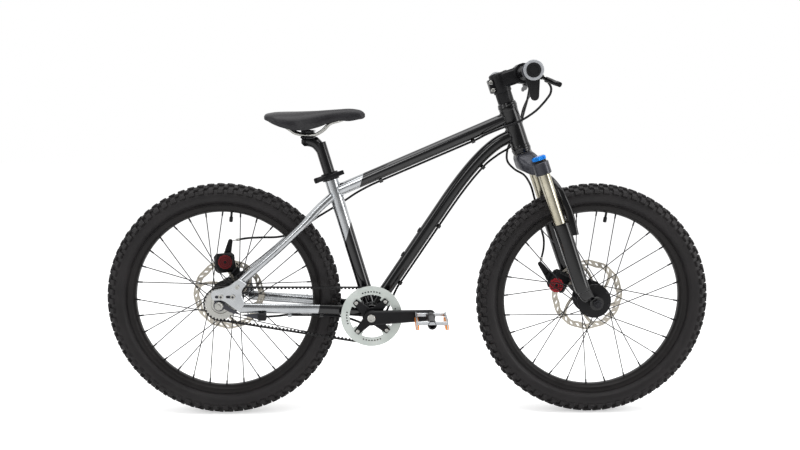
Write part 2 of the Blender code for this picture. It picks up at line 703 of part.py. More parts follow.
def pedal(side, parent):
    """A platform pedal: a cage round a barrel, with two openings, on a bore for its axle."""
    sign = -1 if side == "right" else 1
    end = CRANK @ Vector((-sign * CRANK_LENGTH, 0, 0))
    hinge = pivot("pedal_" + side + "_pivot", at(*end) @ ACROSS, parent)
    start = CRANK_FACE_Y + 0.003
    middle = sign * (start + PEDAL_WIDTH / 2)
    body = solid(block((PEDAL_LENGTH, PEDAL_WIDTH, PEDAL_HEIGHT), at(0, middle, 0), bevel=0.003),
                 "pedal_" + side, "brushed_aluminium", at(*end), hinge)
    barrel = 0.0095
    window = PEDAL_LENGTH / 2 - barrel - 0.008
    windows = bmesh.new()
    for way in (-1, 1):
        block((window, PEDAL_WIDTH - 0.014, 2 * PEDAL_HEIGHT), at(way * (barrel + window / 2), middle, 0),
              windows)
    hole = rod(bore(PEDAL_AXLE_RADIUS, SHAFT_SIDES, RUN_GAP),
               *sorted((sign * (start - 0.01), sign * (start + PEDAL_WIDTH - 0.008))), SHAFT_SIDES, ACROSS)
    return cut(body, solid(windows, frame=at(*end)), solid(hole, frame=at(*end)))


# Frame

def mitre(neighbour):
    """A solid the size of a neighbouring tube with its gap, which cuts a tube's end to meet it."""
    radius, low, high, sides, frame = {
        "head": (HEAD_TUBE_RADIUS, 0.30, 0.55, CUP_SIDES, STEER),
        "seat": (SEAT_TUBE_RADIUS, -0.01, SEAT_TUBE_LENGTH, TUBE_SIDES, SEAT),
        "shell": (BB_SHELL_RADIUS, -0.06, 0.06, TUBE_SIDES, at(*BB_CENTRE) @ ACROSS),
    }[neighbour]
    return solid(rod(bore(radius, sides), low, high, sides, frame))


def clip_rings(frames):
    """Rings that hold a cable housing, which runs along the Z of each frame."""
    bm = bmesh.new()
    hole = bore(HOUSING_RADIUS, 6, RUN_GAP)
    for frame in frames:
        sleeve(hole, hole + CLIP_WALL, -CLIP_LENGTH / 2, CLIP_LENGTH / 2, 6, frame, bm)
    return solid(bm)


def beside(start, end, share, radius, side):
    """A frame for a clip beside the tube from start to end, at a share of its length."""
    direction = (end - start).normalized()
    off = Vector(side) - Vector(side).dot(direction) * direction
    distance = radius + HOUSING_RADIUS + 0.001
    return facing(start + share * (end - start) + distance * off.normalized(), direction)


def down_tube_path():
    """Straight from the bottom bracket, one bend, straight into the head tube."""
    rise = Vector((cos(radians(DOWN_TUBE_ANGLE)), 0, sin(radians(DOWN_TUBE_ANGLE))))
    lead = Vector((cos(radians(DOWN_TUBE_HEAD_ANGLE)), 0, sin(radians(DOWN_TUBE_HEAD_ANGLE))))
    head = STEER @ Vector((0, 0, DOWN_TUBE_AT_HEAD))
    away = head - BB_CENTRE
    cross = rise.x * lead.z - rise.z * lead.x
    corner = BB_CENTRE + rise * ((away.x * lead.z - away.z * lead.x) / cross)
    start = BB_CENTRE + rise * DOWN_TUBE_STRAIGHT
    end = head - lead * DOWN_TUBE_HEAD_STRAIGHT
    bend = [(1 - t) ** 2 * start + 2 * t * (1 - t) * corner + t ** 2 * end
            for t in (0.0, 0.33, 0.67, 1.0)]
    return [BB_CENTRE, *bend, head]


CHAINSTAY_PATH = [(0.044, 0.0680, 0.2500), (0.070, 0.0630, 0.2480), (0.150, 0.0525, 0.2445),
                  (0.209, 0.0430, 0.2415), (0.245, 0.0365, 0.2385), (0.285, 0.0285, 0.2335),
                  (0.312, 0.0240, 0.2300)]
SEATSTAY_PATH = [(0.0420, 0.0617, 0.3010), (0.0640, 0.0617, 0.3210), (0.0850, 0.0590, 0.3395),
                 (0.1228, 0.0520, 0.3724), (0.1520, 0.0470, 0.3995), (0.1790, 0.0415, 0.4250),
                 (0.2110, 0.0270, 0.4580), (0.2370, 0.0150, 0.4815)]


def on_side(path, sign):
    return [from_rear(x, sign * y, z) for x, y, z in path]


TOP_TUBE_ENDS = (SEAT @ Vector((0, 0, TOP_TUBE_AT_SEAT)), STEER @ Vector((0, 0, TOP_TUBE_AT_HEAD)))
TOP_TUBE_CLIPS = [beside(*TOP_TUBE_ENDS, share, TOP_TUBE_RADIUS, -UP) for share in (0.77, 0.245)]
DOWN_TUBE = down_tube_path()
DOWN_TUBE_CLIPS = [beside(DOWN_TUBE[i], DOWN_TUBE[i + 1], share, DOWN_TUBE_RADIUS, -UP)
                   for i, share in ((2, 0.5), (0, 0.817), (0, 0.296))]
RIGHT_CHAINSTAY = on_side(CHAINSTAY_PATH, -1)
CHAINSTAY_CLIPS = [beside(RIGHT_CHAINSTAY[i], RIGHT_CHAINSTAY[i + 1], share, 0.96 * CHAINSTAY_HALF_HEIGHT,
                          -UP) for i, share in ((3, 0.17), (1, 0.97))]


def front_frame(parent):
    head = sleeve(HEAD_TUBE_RADIUS - HEAD_TUBE_WALL, HEAD_TUBE_RADIUS, HEAD_TUBE_BOTTOM, HEAD_TUBE_TOP,
                  CUP_SIDES)
    solid(head, "head_tube", "black_paint", STEER, parent)
    top = solid(tube(TOP_TUBE_ENDS, TOP_TUBE_RADIUS, TUBE_WALL), "top_tube", "black_paint", parent=parent)
    join(cut(top, mitre("head"), mitre("seat")), clip_rings(TOP_TUBE_CLIPS))
    down = solid(tube(DOWN_TUBE, DOWN_TUBE_RADIUS, TUBE_WALL), "down_tube", "black_paint", parent=parent)
    join(cut(down, mitre("head"), mitre("seat"), mitre("shell")), clip_rings(DOWN_TUBE_CLIPS))
    bosses = bmesh.new()
    rise = (DOWN_TUBE[1] - DOWN_TUBE[0]).normalized()
    for distance in BOTTLE_BOSSES:
        seat = facing(DOWN_TUBE[0] + distance * rise, LEFT.cross(rise) * -1)
        rod(BOTTLE_BOSS_RADIUS, DOWN_TUBE_RADIUS - 0.0016, DOWN_TUBE_RADIUS + BOTTLE_BOSS_HEIGHT,
            SHAFT_SIDES, seat, bosses)
    join(down, solid(bosses))
    bore_radius = bore(SEATPOST_RADIUS, TUBE_SIDES)
    seat_tube = solid(sleeve(bore_radius, SEAT_TUBE_RADIUS, 0, SEAT_TUBE_LENGTH), "seat_tube", "black_paint",
                      SEAT, parent)
    cut(seat_tube, mitre("shell"))
    hole = bore(SPINDLE_RADIUS, TUBE_SIDES, RUN_GAP)
    half = [(hole, BB_SHELL_HALF - BB_CUP_DEPTH), (hole, BB_SHELL_HALF + BB_CUP_WIDTH),
            (BB_CUP_RADIUS, BB_SHELL_HALF + BB_CUP_WIDTH), (BB_CUP_RADIUS, BB_SHELL_HALF),
            (BB_SHELL_RADIUS, BB_SHELL_HALF)]
    chamber = [(0.016, -BB_SHELL_HALF + BB_CUP_DEPTH), (0.016, BB_SHELL_HALF - BB_CUP_DEPTH)]
    profile = half + [(r, -y) for r, y in reversed(half)] + chamber
    solid(lathe(profile, TUBE_SIDES, ACROSS), "bottom_bracket_shell", "black_paint", at(*BB_CENTRE), parent)


def headset(parent):
    """A cup at each end of the head tube, with a skirt inside it and a bore for the steerer."""
    hole = bore(STEERER_RADIUS, TUBE_SIDES, RUN_GAP)
    skirt = HEAD_TUBE_RADIUS - HEAD_TUBE_WALL - 2 * GAP
    for name, end, out in (("lower", HEAD_TUBE_BOTTOM, -1), ("upper", HEAD_TUBE_TOP, 1)):
        face = end + out * GAP
        profile = [(hole, end - out * CUP_SKIRT), (skirt, end - out * CUP_SKIRT), (skirt, face),
                   (CUP_RADIUS, face), (CUP_RADIUS, face + out * 0.006),
                   (CUP_RADIUS - 0.002, face + out * CUP_HEIGHT), (hole, face + out * CUP_HEIGHT)]
        solid(lathe(profile, CUP_SIDES), "headset_" + name + "_cup", "satin_black", STEER, parent)


# Outlines of the rear end, from the rear axle
DROPOUT_OUTLINE = [
    (-0.0161, 0.0282), (-0.0118, 0.0336), (0.0073, 0.0378), (0.0242, 0.0442), (0.0349, 0.0528),
    (0.0435, 0.0582), (0.0601, 0.0474), (0.0490, 0.0345), (0.0490, 0.0216), (0.0540, 0.0065),
    (0.0462, -0.0151), (0.0274, -0.0021), (0.0150, 0.0077), (0.0067, 0.0120), (-0.0123, 0.0120),
    (-0.0163, 0.0196),
]
SLOTS = ((-0.0049, 0.0060), (0.0183, 0.0310))
SLOT_HEIGHT = 0.020
SLIDER_BOLTS = (0.005, 0.030)
STAY_BOLT = (0.040, 0.041)
SLIDER_OUTLINE = [(-0.013, 0.016), (-0.013, 0.026), (0.036, 0.026), (0.036, 0.013), (0.019, 0.010),
                  (0.011, 0.003), (-0.009, 0.005)]
SHIFT_ARM_OUTLINE = [
    (0.0060, 0.0100), (0.0170, 0.0010), (0.0462, -0.0195), (0.0819, -0.0165), (0.0985, -0.0165),
    (0.0985, -0.0317), (0.0819, -0.0295), (0.0228, -0.0135), (0.0100, -0.0060),
]


def stays(side, parent):
    """Chainstay with the slotted dropout welded to it, and seatstay."""
    sign = -1 if side == "right" else 1
    axle_frame = at(*REAR_AXLE)
    path = on_side(CHAINSTAY_PATH, sign)
    size = (CHAINSTAY_HALF_HEIGHT, CHAINSTAY_HALF_WIDTH)
    stay = solid(loft(path_frames(path), [size] * len(path)), "chainstay_" + side, "brushed_aluminium",
                 parent=parent)
    cut(stay, mitre("shell"))
    plate = sorted((sign * DROPOUT_Y, sign * (DROPOUT_Y + DROPOUT_THICKNESS)))
    slots = bmesh.new()
    for start, end in SLOTS:
        outline = link((start, SLOT_HEIGHT), (end, SLOT_HEIGHT), SLOT_HALF_HEIGHT, SLOT_HALF_HEIGHT, 4)
        prism(outline, plate[0] - 0.001, plate[1] + 0.001, bm=slots)
    dropout = cut(solid(prism(DROPOUT_OUTLINE, *plate), frame=axle_frame), solid(slots, frame=axle_frame))
    head = sorted((sign * (DROPOUT_Y + 0.003), sign * (DROPOUT_Y + DROPOUT_THICKNESS + FRAME_BOLT_HEAD)))
    bolt = rod(FRAME_BOLT_RADIUS, *head, 6, at(STAY_BOLT[0], 0, STAY_BOLT[1]) @ ACROSS)
    join(stay, dropout, solid(bolt, frame=axle_frame))
    if side == "right":
        join(stay, clip_rings(CHAINSTAY_CLIPS))
    seatstay = solid(tube(on_side(SEATSTAY_PATH, sign), SEATSTAY_RADIUS, sides=10), "seatstay_" + side,
                     "brushed_aluminium", parent=parent)
    return stay, cut(seatstay, mitre("seat"))


def slider(side, parent):
    """The axle's holder, which two bolts clamp behind the dropout's slots.

    The right one also has the arm of the hub's gear shift.
    """
    sign = -1 if side == "right" else 1
    axle_frame = at(*REAR_AXLE)
    inner, face = sign * REAR_DROPOUT_Y, sign * (DROPOUT_Y - GAP)
    plate = solid(prism(SLIDER_OUTLINE, *sorted((inner, face))), "axle_slider_" + side, "brushed_aluminium",
                  axle_frame, parent)
    join(plate, solid(rod(0.0123, *sorted((inner, face)), TUBE_SIDES, ACROSS), frame=axle_frame))
    bolts = bmesh.new()
    under_head = sign * (DROPOUT_Y + DROPOUT_THICKNESS + GAP)
    for x in SLIDER_BOLTS:
        profile = [(0, face - sign * 0.001), (FRAME_SHANK_RADIUS, face - sign * 0.001),
                   (FRAME_SHANK_RADIUS, under_head), (FRAME_BOLT_RADIUS, under_head),
                   (FRAME_BOLT_RADIUS, under_head + sign * FRAME_BOLT_HEAD),
                   (0, under_head + sign * FRAME_BOLT_HEAD)]
        lathe(profile, 6, at(x, 0, SLOT_HEIGHT) @ ACROSS, bolts, closed=False)
    join(plate, solid(bolts, frame=axle_frame))
    if side == "right":
        arm = prism(SHIFT_ARM_OUTLINE, -DROPOUT_Y - SHIFT_ARM_THICKNESS, face + 0.0005)
        box = block((0.017, 0.012, 0.015), at(0.0905, -DROPOUT_Y, -0.0240), bevel=0.002)
        join(plate, solid(arm, frame=axle_frame), solid(box, frame=axle_frame))
    hole = rod(bore(AXLE_RADIUS, SHAFT_SIDES), *sorted((sign * 0.05, sign * 0.08)), SHAFT_SIDES, ACROSS)
    return cut(plate, solid(hole, frame=axle_frame))


# Brakes

def caliper(side, parent, centre, angle, rotor_y, inboard, outboard, knob_at, arm_from, arm_to):
    """A caliper over its rotor, with the arm that the cable pulls and the pad's adjusting knob.

    The arm and the knob get pivots of their own. Places are measured from the axle.
    """
    radial = turn(-angle, "Y") @ turn(90, "Y")
    middle = rotor_y + (outboard - inboard) / 2
    body = solid(block((0.046, inboard + outboard, 0.044), radial @ at(0, middle, CALIPER_RADIUS),
                       bevel=0.006), side + "_caliper", "satin_black", at(*centre), parent)
    boss_face = rotor_y + outboard + 0.0005
    boss = rod(0.0105, boss_face - 0.0045, boss_face, SHAFT_SIDES, at(arm_from[0], 0, arm_from[1]) @ ACROSS)
    join(body, solid(boss, frame=at(*centre)))
    slot = rod(bore(ROTOR_RADIUS, 30, PAD_GAP), rotor_y - ROTOR_HALF - PAD_GAP,
               rotor_y + ROTOR_HALF + PAD_GAP, 30, ACROSS)
    cut(body, solid(slot, frame=at(*centre)))

    knob_centre = centre + Vector((knob_at[0], 0, knob_at[1]))
    hinge = pivot(side + "_pad_knob_pivot", at(*knob_centre) @ ACROSS, parent)
    face = rotor_y - inboard - GAP
    knob = lathe([(0, face), (PAD_KNOB_RADIUS, face), (PAD_KNOB_RADIUS, face - PAD_KNOB_WIDTH + 0.001),
                  (PAD_KNOB_RADIUS - 0.003, face - PAD_KNOB_WIDTH), (0, face - PAD_KNOB_WIDTH)],
                 20, ACROSS, closed=False)
    solid(knob, side + "_pad_knob", "red_anodised", at(*knob_centre), hinge)

    low = boss_face + GAP
    arm_centre = centre + Vector((arm_from[0], 0, arm_from[1]))
    hinge = pivot(side + "_caliper_arm_pivot", at(*arm_centre) @ ACROSS, parent)
    solid(prism(link(arm_from, arm_to, 0.0095, 0.0050), low, low + BRAKE_ARM_THICKNESS),
          side + "_caliper_arm", "satin_black", at(*centre), hinge)
    return body


def rear_brake(parent):
    body = caliper("rear", parent, REAR_AXLE, 96.0, REAR_ROTOR_Y, 0.0095, 0.0070, (-0.005, 0.075),
                   (-0.006, 0.078), (0.004, 0.119))
    start, end = 0.0550, DROPOUT_Y - GAP
    foot = block((0.024, end - start, 0.012), at(0.018, (start + end) / 2, 0.0445), bevel=0.002)
    neck = block((0.022, 0.0036, 0.030), at(0.012, 0.0570, 0.0560))
    join(body, solid(foot, frame=at(*REAR_AXLE)), solid(neck, frame=at(*REAR_AXLE)))


def front_brake(parent):
    caliper("front", parent, FRONT_AXLE, 154.0, FRONT_ROTOR_Y, 0.0090, 0.0068, (-0.0722, 0.0237),
            (-0.0840, 0.0400), (-0.1060, 0.0690))


# Seat

def seat_clamp(parent):
    """A collar round the top of the seat tube, with a lug that carries its lever."""
    hole = bore(SEAT_TUBE_RADIUS, TUBE_SIDES)
    top = COLLAR_BOTTOM + COLLAR_HEIGHT
    middle = (COLLAR_BOTTOM + top) / 2
    collar = solid(rod(hole + COLLAR_WALL, COLLAR_BOTTOM, top, TUBE_SIDES), "seat_clamp", "satin_black",
                   SEAT, parent)
    lug_half, barrel = 0.0082, 0.0045
    lug = solid(block((0.022, 2 * lug_half, 0.011), at(-0.025, 0, middle), bevel=0.002), frame=SEAT)
    cut(join(collar, lug), solid(rod(hole, COLLAR_BOTTOM - 0.01, top + 0.01, TUBE_SIDES), frame=SEAT))
    axis = (-0.030, -lug_half - GAP - barrel)
    hinge = pivot("seat_clamp_lever_pivot", SEAT @ at(*axis, middle), parent)
    path = [(*axis, middle), (-0.020, -0.0195, middle), (-0.006, -0.0245, middle),
            (0.012, -0.0255, middle + 0.001), (0.0325, -0.0240, middle + 0.002)]
    sizes = [(0.0028, 0.0040), (0.0028, 0.0045), (0.0022, 0.0050), (0.0020, 0.0055), (0.0018, 0.0045)]
    lever = solid(loft(path_frames(path, UP), sizes, 10, power=3.0), "seat_clamp_lever", "satin_black",
                  SEAT, hinge)
    join(lever, solid(rod(barrel, middle - 0.0055, middle + 0.0055, SHAFT_SIDES, at(*axis)), frame=SEAT))


def seatpost(parent):
    """The post, with a head set back from it that clamps both rails."""
    post = solid(rod(SEATPOST_RADIUS, SEATPOST_BOTTOM, SEATPOST_TOP, TUBE_SIDES), "seatpost", "black_paint",
                 SEAT, parent)
    clear = RAIL_RADIUS + GAP
    across = 2 * RAIL_SPACING
    for size, x, height, bevel in (
            ((0.040, 0.022, 0.020), RAIL_CLAMP_X + 0.005, -clear - 0.0125, 0.004),
            ((0.030, across + 0.011, 0.006), RAIL_CLAMP_X, -clear - 0.0030, 0.0015),
            ((0.026, across - 2 * clear - 0.001, 2 * clear + 0.004), RAIL_CLAMP_X, 0.0, 0.0),
            ((0.028, across + 0.011, 0.0045), RAIL_CLAMP_X, clear + 0.00225, 0.001)):
        join(post, solid(block(size, bevel=bevel), frame=at(*from_rear(x, 0, RAIL_HEIGHT + height))))


def saddle_rails(parent):
    """One bent wire: two rails that meet under the nose."""
    half = [(0.128, 0.0275, 0.0215), (0.148, 0.0245, 0.0105), (0.1595, 0.0226, 0.0025),
            (RAIL_CLAMP_X - 0.019, RAIL_SPACING, 0), (RAIL_CLAMP_X + 0.019, RAIL_SPACING, 0),
            (0.217, 0.0202, 0.0065), (0.233, 0.0165, 0.0215), (0.252, 0.0110, 0.0275)]
    points = [from_rear(x, y, RAIL_HEIGHT + z) for x, y, z in half]
    points += [from_rear(0.259, 0, RAIL_HEIGHT + 0.0295)]
    points += [Vector((p.x, -p.y, p.z)) for p in reversed(points[:-1])]
    solid(tube(points, RAIL_RADIUS, sides=6, side=UP), "saddle_rails", "steel", parent=parent)


SADDLE_STATIONS = [
    # distance in front of the rear axle, half width, top, lower edge of the skirt
    (0.0967, 0.036, 0.6560, 0.6505), (0.1060, 0.052, 0.6610, 0.6440), (0.1200, 0.0625, 0.6632, 0.6365),
    (0.1380, 0.0655, 0.6640, 0.6300), (0.1600, 0.0600, 0.6643, 0.6250), (0.1830, 0.0470, 0.6650, 0.6245),
    (0.2060, 0.0345, 0.6660, 0.6295), (0.2280, 0.0265, 0.6675, 0.6380), (0.2500, 0.0225, 0.6690, 0.6445),
    (0.2750, 0.0205, 0.6705, 0.6435), (0.2950, 0.0165, 0.6680, 0.6475), (0.3085, 0.0080, 0.6575, 0.6540),
]


def saddle(parent):
    """A padded top with a crown and drawn-in sides, hollow underneath where the rails go."""
    bm = bmesh.new()
    rings = []
    for x, half, top, edge in SADDLE_STATIONS:
        height = top - edge
        floor = edge + min(0.009, 0.4 * height)
        outline = [(0.92 * half, edge)]
        for angle in np.radians(np.linspace(14, 166, 11)):
            across = np.sign(cos(angle)) * abs(cos(angle)) ** 0.75
            outline.append((half * across, edge + height * (0.22 + 0.78 * sin(angle) ** 0.8)))
        outline += [(-0.92 * half, edge), (-0.84 * half, edge), (-0.76 * half, floor), (0.76 * half, floor),
                    (0.84 * half, edge)]
        rings.append([bm.verts.new(from_rear(x, y, z)) for y, z in outline])
    for first, second in zip(rings, rings[1:]):
        bridge(bm, first, second)
    bm.faces.new(rings[0])
    bm.faces.new(rings[-1])
    solid(bm, "saddle", "vinyl", parent=parent)


# Fork

def at_stanchions(radius, low, high):
    """Two rods on the stanchions' axes, in the steering frame."""
    bm = bmesh.new()
    for way in (-1, 1):
        rod(radius, low, high, TUBE_SIDES, at(STANCHION_REACH, way * STANCHION_HALF_SPACING, 0), bm)
    return solid(bm, frame=STEER)


def fork_crown(parent):
    """The crown and steerer in one, with a clamp for each stanchion."""
    half = STANCHION_HALF_SPACING
    end = half - 0.0060
    stations = [(-end, STANCHION_REACH, 0.3170, 0.0156, 0.0120), (-0.046, 0.0100, 0.3185, 0.0180, 0.0110),
                (-0.024, -0.0005, 0.3390, 0.0210, 0.0160), (0.024, -0.0005, 0.3390, 0.0210, 0.0160),
                (0.046, 0.0100, 0.3185, 0.0180, 0.0110), (end, STANCHION_REACH, 0.3170, 0.0156, 0.0120)]
    frames = [at(n, y, s) @ ACROSS for y, n, s, _, _ in stations]
    crown = solid(loft(frames, [(a, b) for *_, a, b in stations], power=3.5), "fork_crown", "gunmetal",
                  STEER, parent)
    clamps = at_stanchions(STANCHION_BORE + CLAMP_WALL, CLAMP_TOP - CLAMP_HEIGHT, CLAMP_TOP)
    race = solid(rod(CROWN_RADIUS, 0.3400, CROWN_TOP, CUP_SIDES), frame=STEER)
    steerer = solid(rod(STEERER_RADIUS, 0.3450, STEERER_TOP, TUBE_SIDES), frame=STEER)
    join(crown, clamps, race, steerer)
    hollow = solid(rod(STEERER_RADIUS - 0.003, CROWN_TOP + 0.010, STEERER_TOP + 0.01), frame=STEER)
    return cut(crown, at_stanchions(STANCHION_BORE, CLAMP_TOP - 0.05, CLAMP_TOP + 0.03), hollow)


def stanchions(parent):
    """Two tubes in the crown: the left one is capped, the knob closes the right one."""
    inner = STANCHION_RADIUS - STANCHION_WALL
    for name, way in (("right", -1), ("left", 1)):
        bm = sleeve(inner, STANCHION_RADIUS, STANCHION_BOTTOM, CLAMP_TOP) if way < 0 else lathe(
            [(0, CLAMP_TOP), (STANCHION_RADIUS, CLAMP_TOP), (STANCHION_RADIUS, STANCHION_BOTTOM),
             (inner, STANCHION_BOTTOM), (inner, CLAMP_TOP - 0.004), (0, CLAMP_TOP - 0.004)], closed=False)
        solid(bm, "stanchion_" + name, "champagne",
              STEER @ at(STANCHION_REACH, way * STANCHION_HALF_SPACING, 0), parent)


def fork_knob(parent):
    """The lockout knob on the right stanchion, on a shaft that reaches down inside."""
    frame = STEER @ at(STANCHION_REACH, -STANCHION_HALF_SPACING, 0)
    hinge = pivot("fork_knob_pivot", frame, parent)
    low, high = CLAMP_TOP + GAP, CLAMP_TOP + GAP + KNOB_HEIGHT
    inside = (STANCHION_RADIUS - STANCHION_WALL) * cos(pi / TUBE_SIDES) - RUN_GAP
    profile = [(0, low - 0.015), (inside, low - 0.015), (inside, low), (KNOB_RADIUS, low),
               (KNOB_RADIUS, high - 0.003), (KNOB_RADIUS - 0.003, high), (0, high)]
    solid(lathe(profile, 18, closed=False), "fork_knob", "blue_anodised", frame, hinge)


def fork_lowers(parent):
    """Both legs and the arch over the tyre in one casting, with the axle eyes and a brake tab."""
    half = STANCHION_HALF_SPACING
    leg = [(0.0105, 0.0330, 0.0543, 0.0120, 0.0037), (0.0200, 0.0295, 0.0590, 0.0142, 0.0080),
           (0.0350, 0.0258, half - 0.002, 0.0147, 0.0120), (0.0560, 0.0230, half, 0.0162, 0.0155),
           (LEG_TOP - 0.006, 0.0223, half, 0.0172, 0.0165), (LEG_TOP, 0.0215, half, 0.0160, 0.0155)]
    arch = [(0.0400, 0.0590, 0.1600, 0.0130, 0.0095), (0.0465, 0.0585, 0.1980, 0.0090, 0.0080),
            (0.0455, 0.0550, 0.2350, 0.0080, 0.0070), (0.0430, 0.0450, 0.2620, 0.0070, 0.0065),
            (0.0390, 0.0260, 0.2800, 0.0060, 0.0060), (0.0375, 0.0000, 0.2850, 0.0058, 0.0058)]
    arch = [(n, -y, s, a, b) for n, y, s, a, b in arch] + arch[-2::-1]
    lowers = solid(loft(path_frames([p[:3] for p in arch], (1, 0, 0)), [(b, a) for *_, a, b in arch],
                        8, power=3.0), "fork_lowers", "black_paint", STEER, parent)
    for way in (-1, 1):
        frames = [at(n, way * y, s) for s, n, y, _, _ in leg]
        inner = way * (FRONT_DROPOUT_Y + GAP)
        eye = rod(FORK_DROPOUT_RADIUS, *sorted((inner, inner + way * FORK_DROPOUT_THICKNESS)), TUBE_SIDES,
                  at(FORK_RAKE) @ ACROSS)
        join(lowers, solid(loft(frames, [(a, b) for *_, a, b in leg]), frame=STEER),
             solid(eye, frame=STEER))
    low, high = FRONT_ROTOR_Y + 0.0073 + GAP, 0.0560
    tab = block((0.030, high - low, 0.040), at(0.006, (low + high) / 2, 0.0520), bevel=0.002)
    join(lowers, solid(tab, frame=STEER))
    hole = bore(STANCHION_RADIUS, TUBE_SIDES, RUN_GAP)
    axle_hole = solid(rod(bore(AXLE_RADIUS, SHAFT_SIDES), -0.09, 0.09, SHAFT_SIDES, at(FORK_RAKE) @ ACROSS),
                      frame=STEER)
    return cut(lowers, at_stanchions(hole, STANCHION_BOTTOM - FORK_TRAVEL - 0.004, LEG_TOP + 0.01),
               axle_hole)


# Cockpit

def bar_point(y):
    """The bar's centre line: straight, one bend, then swept back and a little up."""
    out = max(abs(y) - BAR_BEND_START, 0)
    bend = BAR_BEND_END - BAR_BEND_START
    along = out ** 2 / (2 * bend) if out < bend else out - bend / 2
    return Vector((BAR_REACH - tan(radians(BAR_BACK_SWEEP)) * along, y,
                   BAR_HEIGHT + tan(radians(BAR_RISE)) * along))


def bar_frame(side, distance):
    """A frame on the bar's swept part, its Z pointing out along the bar and its X forward and down."""
    sign = -1 if side == "right" else 1
    outward = (bar_point(sign * BAR_HALF_WIDTH) - bar_point(sign * BAR_BEND_END)).normalized()
    origin = bar_point(sign * BAR_BEND_END) + outward * ((distance - BAR_BEND_END) / abs(outward.y))
    forward = Vector((cos(radians(LEVER_ANGLE)), 0, -sin(radians(LEVER_ANGLE))))
    return STEER @ facing(origin, outward, outward.cross(forward))


def handlebar(parent):
    half = [0.029, 0.045, BAR_BEND_START, (BAR_BEND_START + BAR_BEND_END) / 2, BAR_BEND_END, BAR_HALF_WIDTH]
    stations = [-y for y in reversed(half)] + [0.0] + half
    radii = [BAR_CLAMP_RADIUS if abs(y) < 0.03 else BAR_RADIUS for y in stations]
    frames = path_frames([bar_point(y) for y in stations], UP)
    solid(loft(frames, [(r, r) for r in radii], SHAFT_SIDES, BAR_WALL), "handlebar", "satin_black", STEER,
          parent)


def stem(parent):
    """The stem with its faceplate, top cap and the spacer under it."""
    bottom = HEAD_TUBE_TOP + CUP_HEIGHT + 3 * GAP
    profile = [(0, bottom), (SPACER_RADIUS, bottom), (SPACER_RADIUS, STEM_BOTTOM - 0.001),
               (STEM_RADIUS, STEM_BOTTOM), (STEM_RADIUS, STEM_TOP - 0.003), (STEM_RADIUS - 0.003, STEM_TOP),
               (0, STEM_TOP)]
    body = solid(lathe(profile, closed=False), "stem", "satin_black", STEER, parent)
    at_bar = at(BAR_REACH, 0, BAR_HEIGHT) @ ACROSS
    neck = block((BAR_REACH, 2 * STEM_HALF_WIDTH, 0.034), at(BAR_REACH / 2, 0, BAR_HEIGHT + 0.0005),
                 bevel=0.005)
    clamp = rod(BAR_CLAMP_BORE + BAR_CLAMP_WALL, -BAR_CLAMP_HALF, BAR_CLAMP_HALF, TUBE_SIDES, at_bar)
    lug = block((0.012, 0.030, 0.030), at(-0.019, 0, 0.511), bevel=0.002)
    join(body, solid(neck, frame=STEER), solid(clamp, frame=STEER), solid(lug, frame=STEER))
    steerer = rod(bore(STEERER_RADIUS, TUBE_SIDES), 0.4, STEERER_TOP + 0.002, TUBE_SIDES)
    bar = rod(BAR_CLAMP_BORE, -0.05, 0.05, TUBE_SIDES, at_bar)
    return cut(body, solid(steerer, frame=STEER), solid(bar, frame=STEER))


def grip(side, parent):
    """A rubber grip with a flange at its inner end and a closed outer end."""
    end = (BAR_HALF_WIDTH - GRIP_START) / cos(radians(BAR_BACK_SWEEP)) + 2 * GAP
    profile = [(0, end), (BAR_BORE, end), (BAR_BORE, 0), (GRIP_FLANGE_RADIUS, 0),
               (GRIP_FLANGE_RADIUS, 0.003), (GRIP_RADIUS, 0.006), (GRIP_RADIUS, end + GRIP_END - 0.001),
               (GRIP_RADIUS - 0.002, end + GRIP_END), (0, end + GRIP_END)]
    solid(lathe(profile, closed=False), "grip_" + side, "grip_rubber", bar_frame(side, GRIP_START), parent)


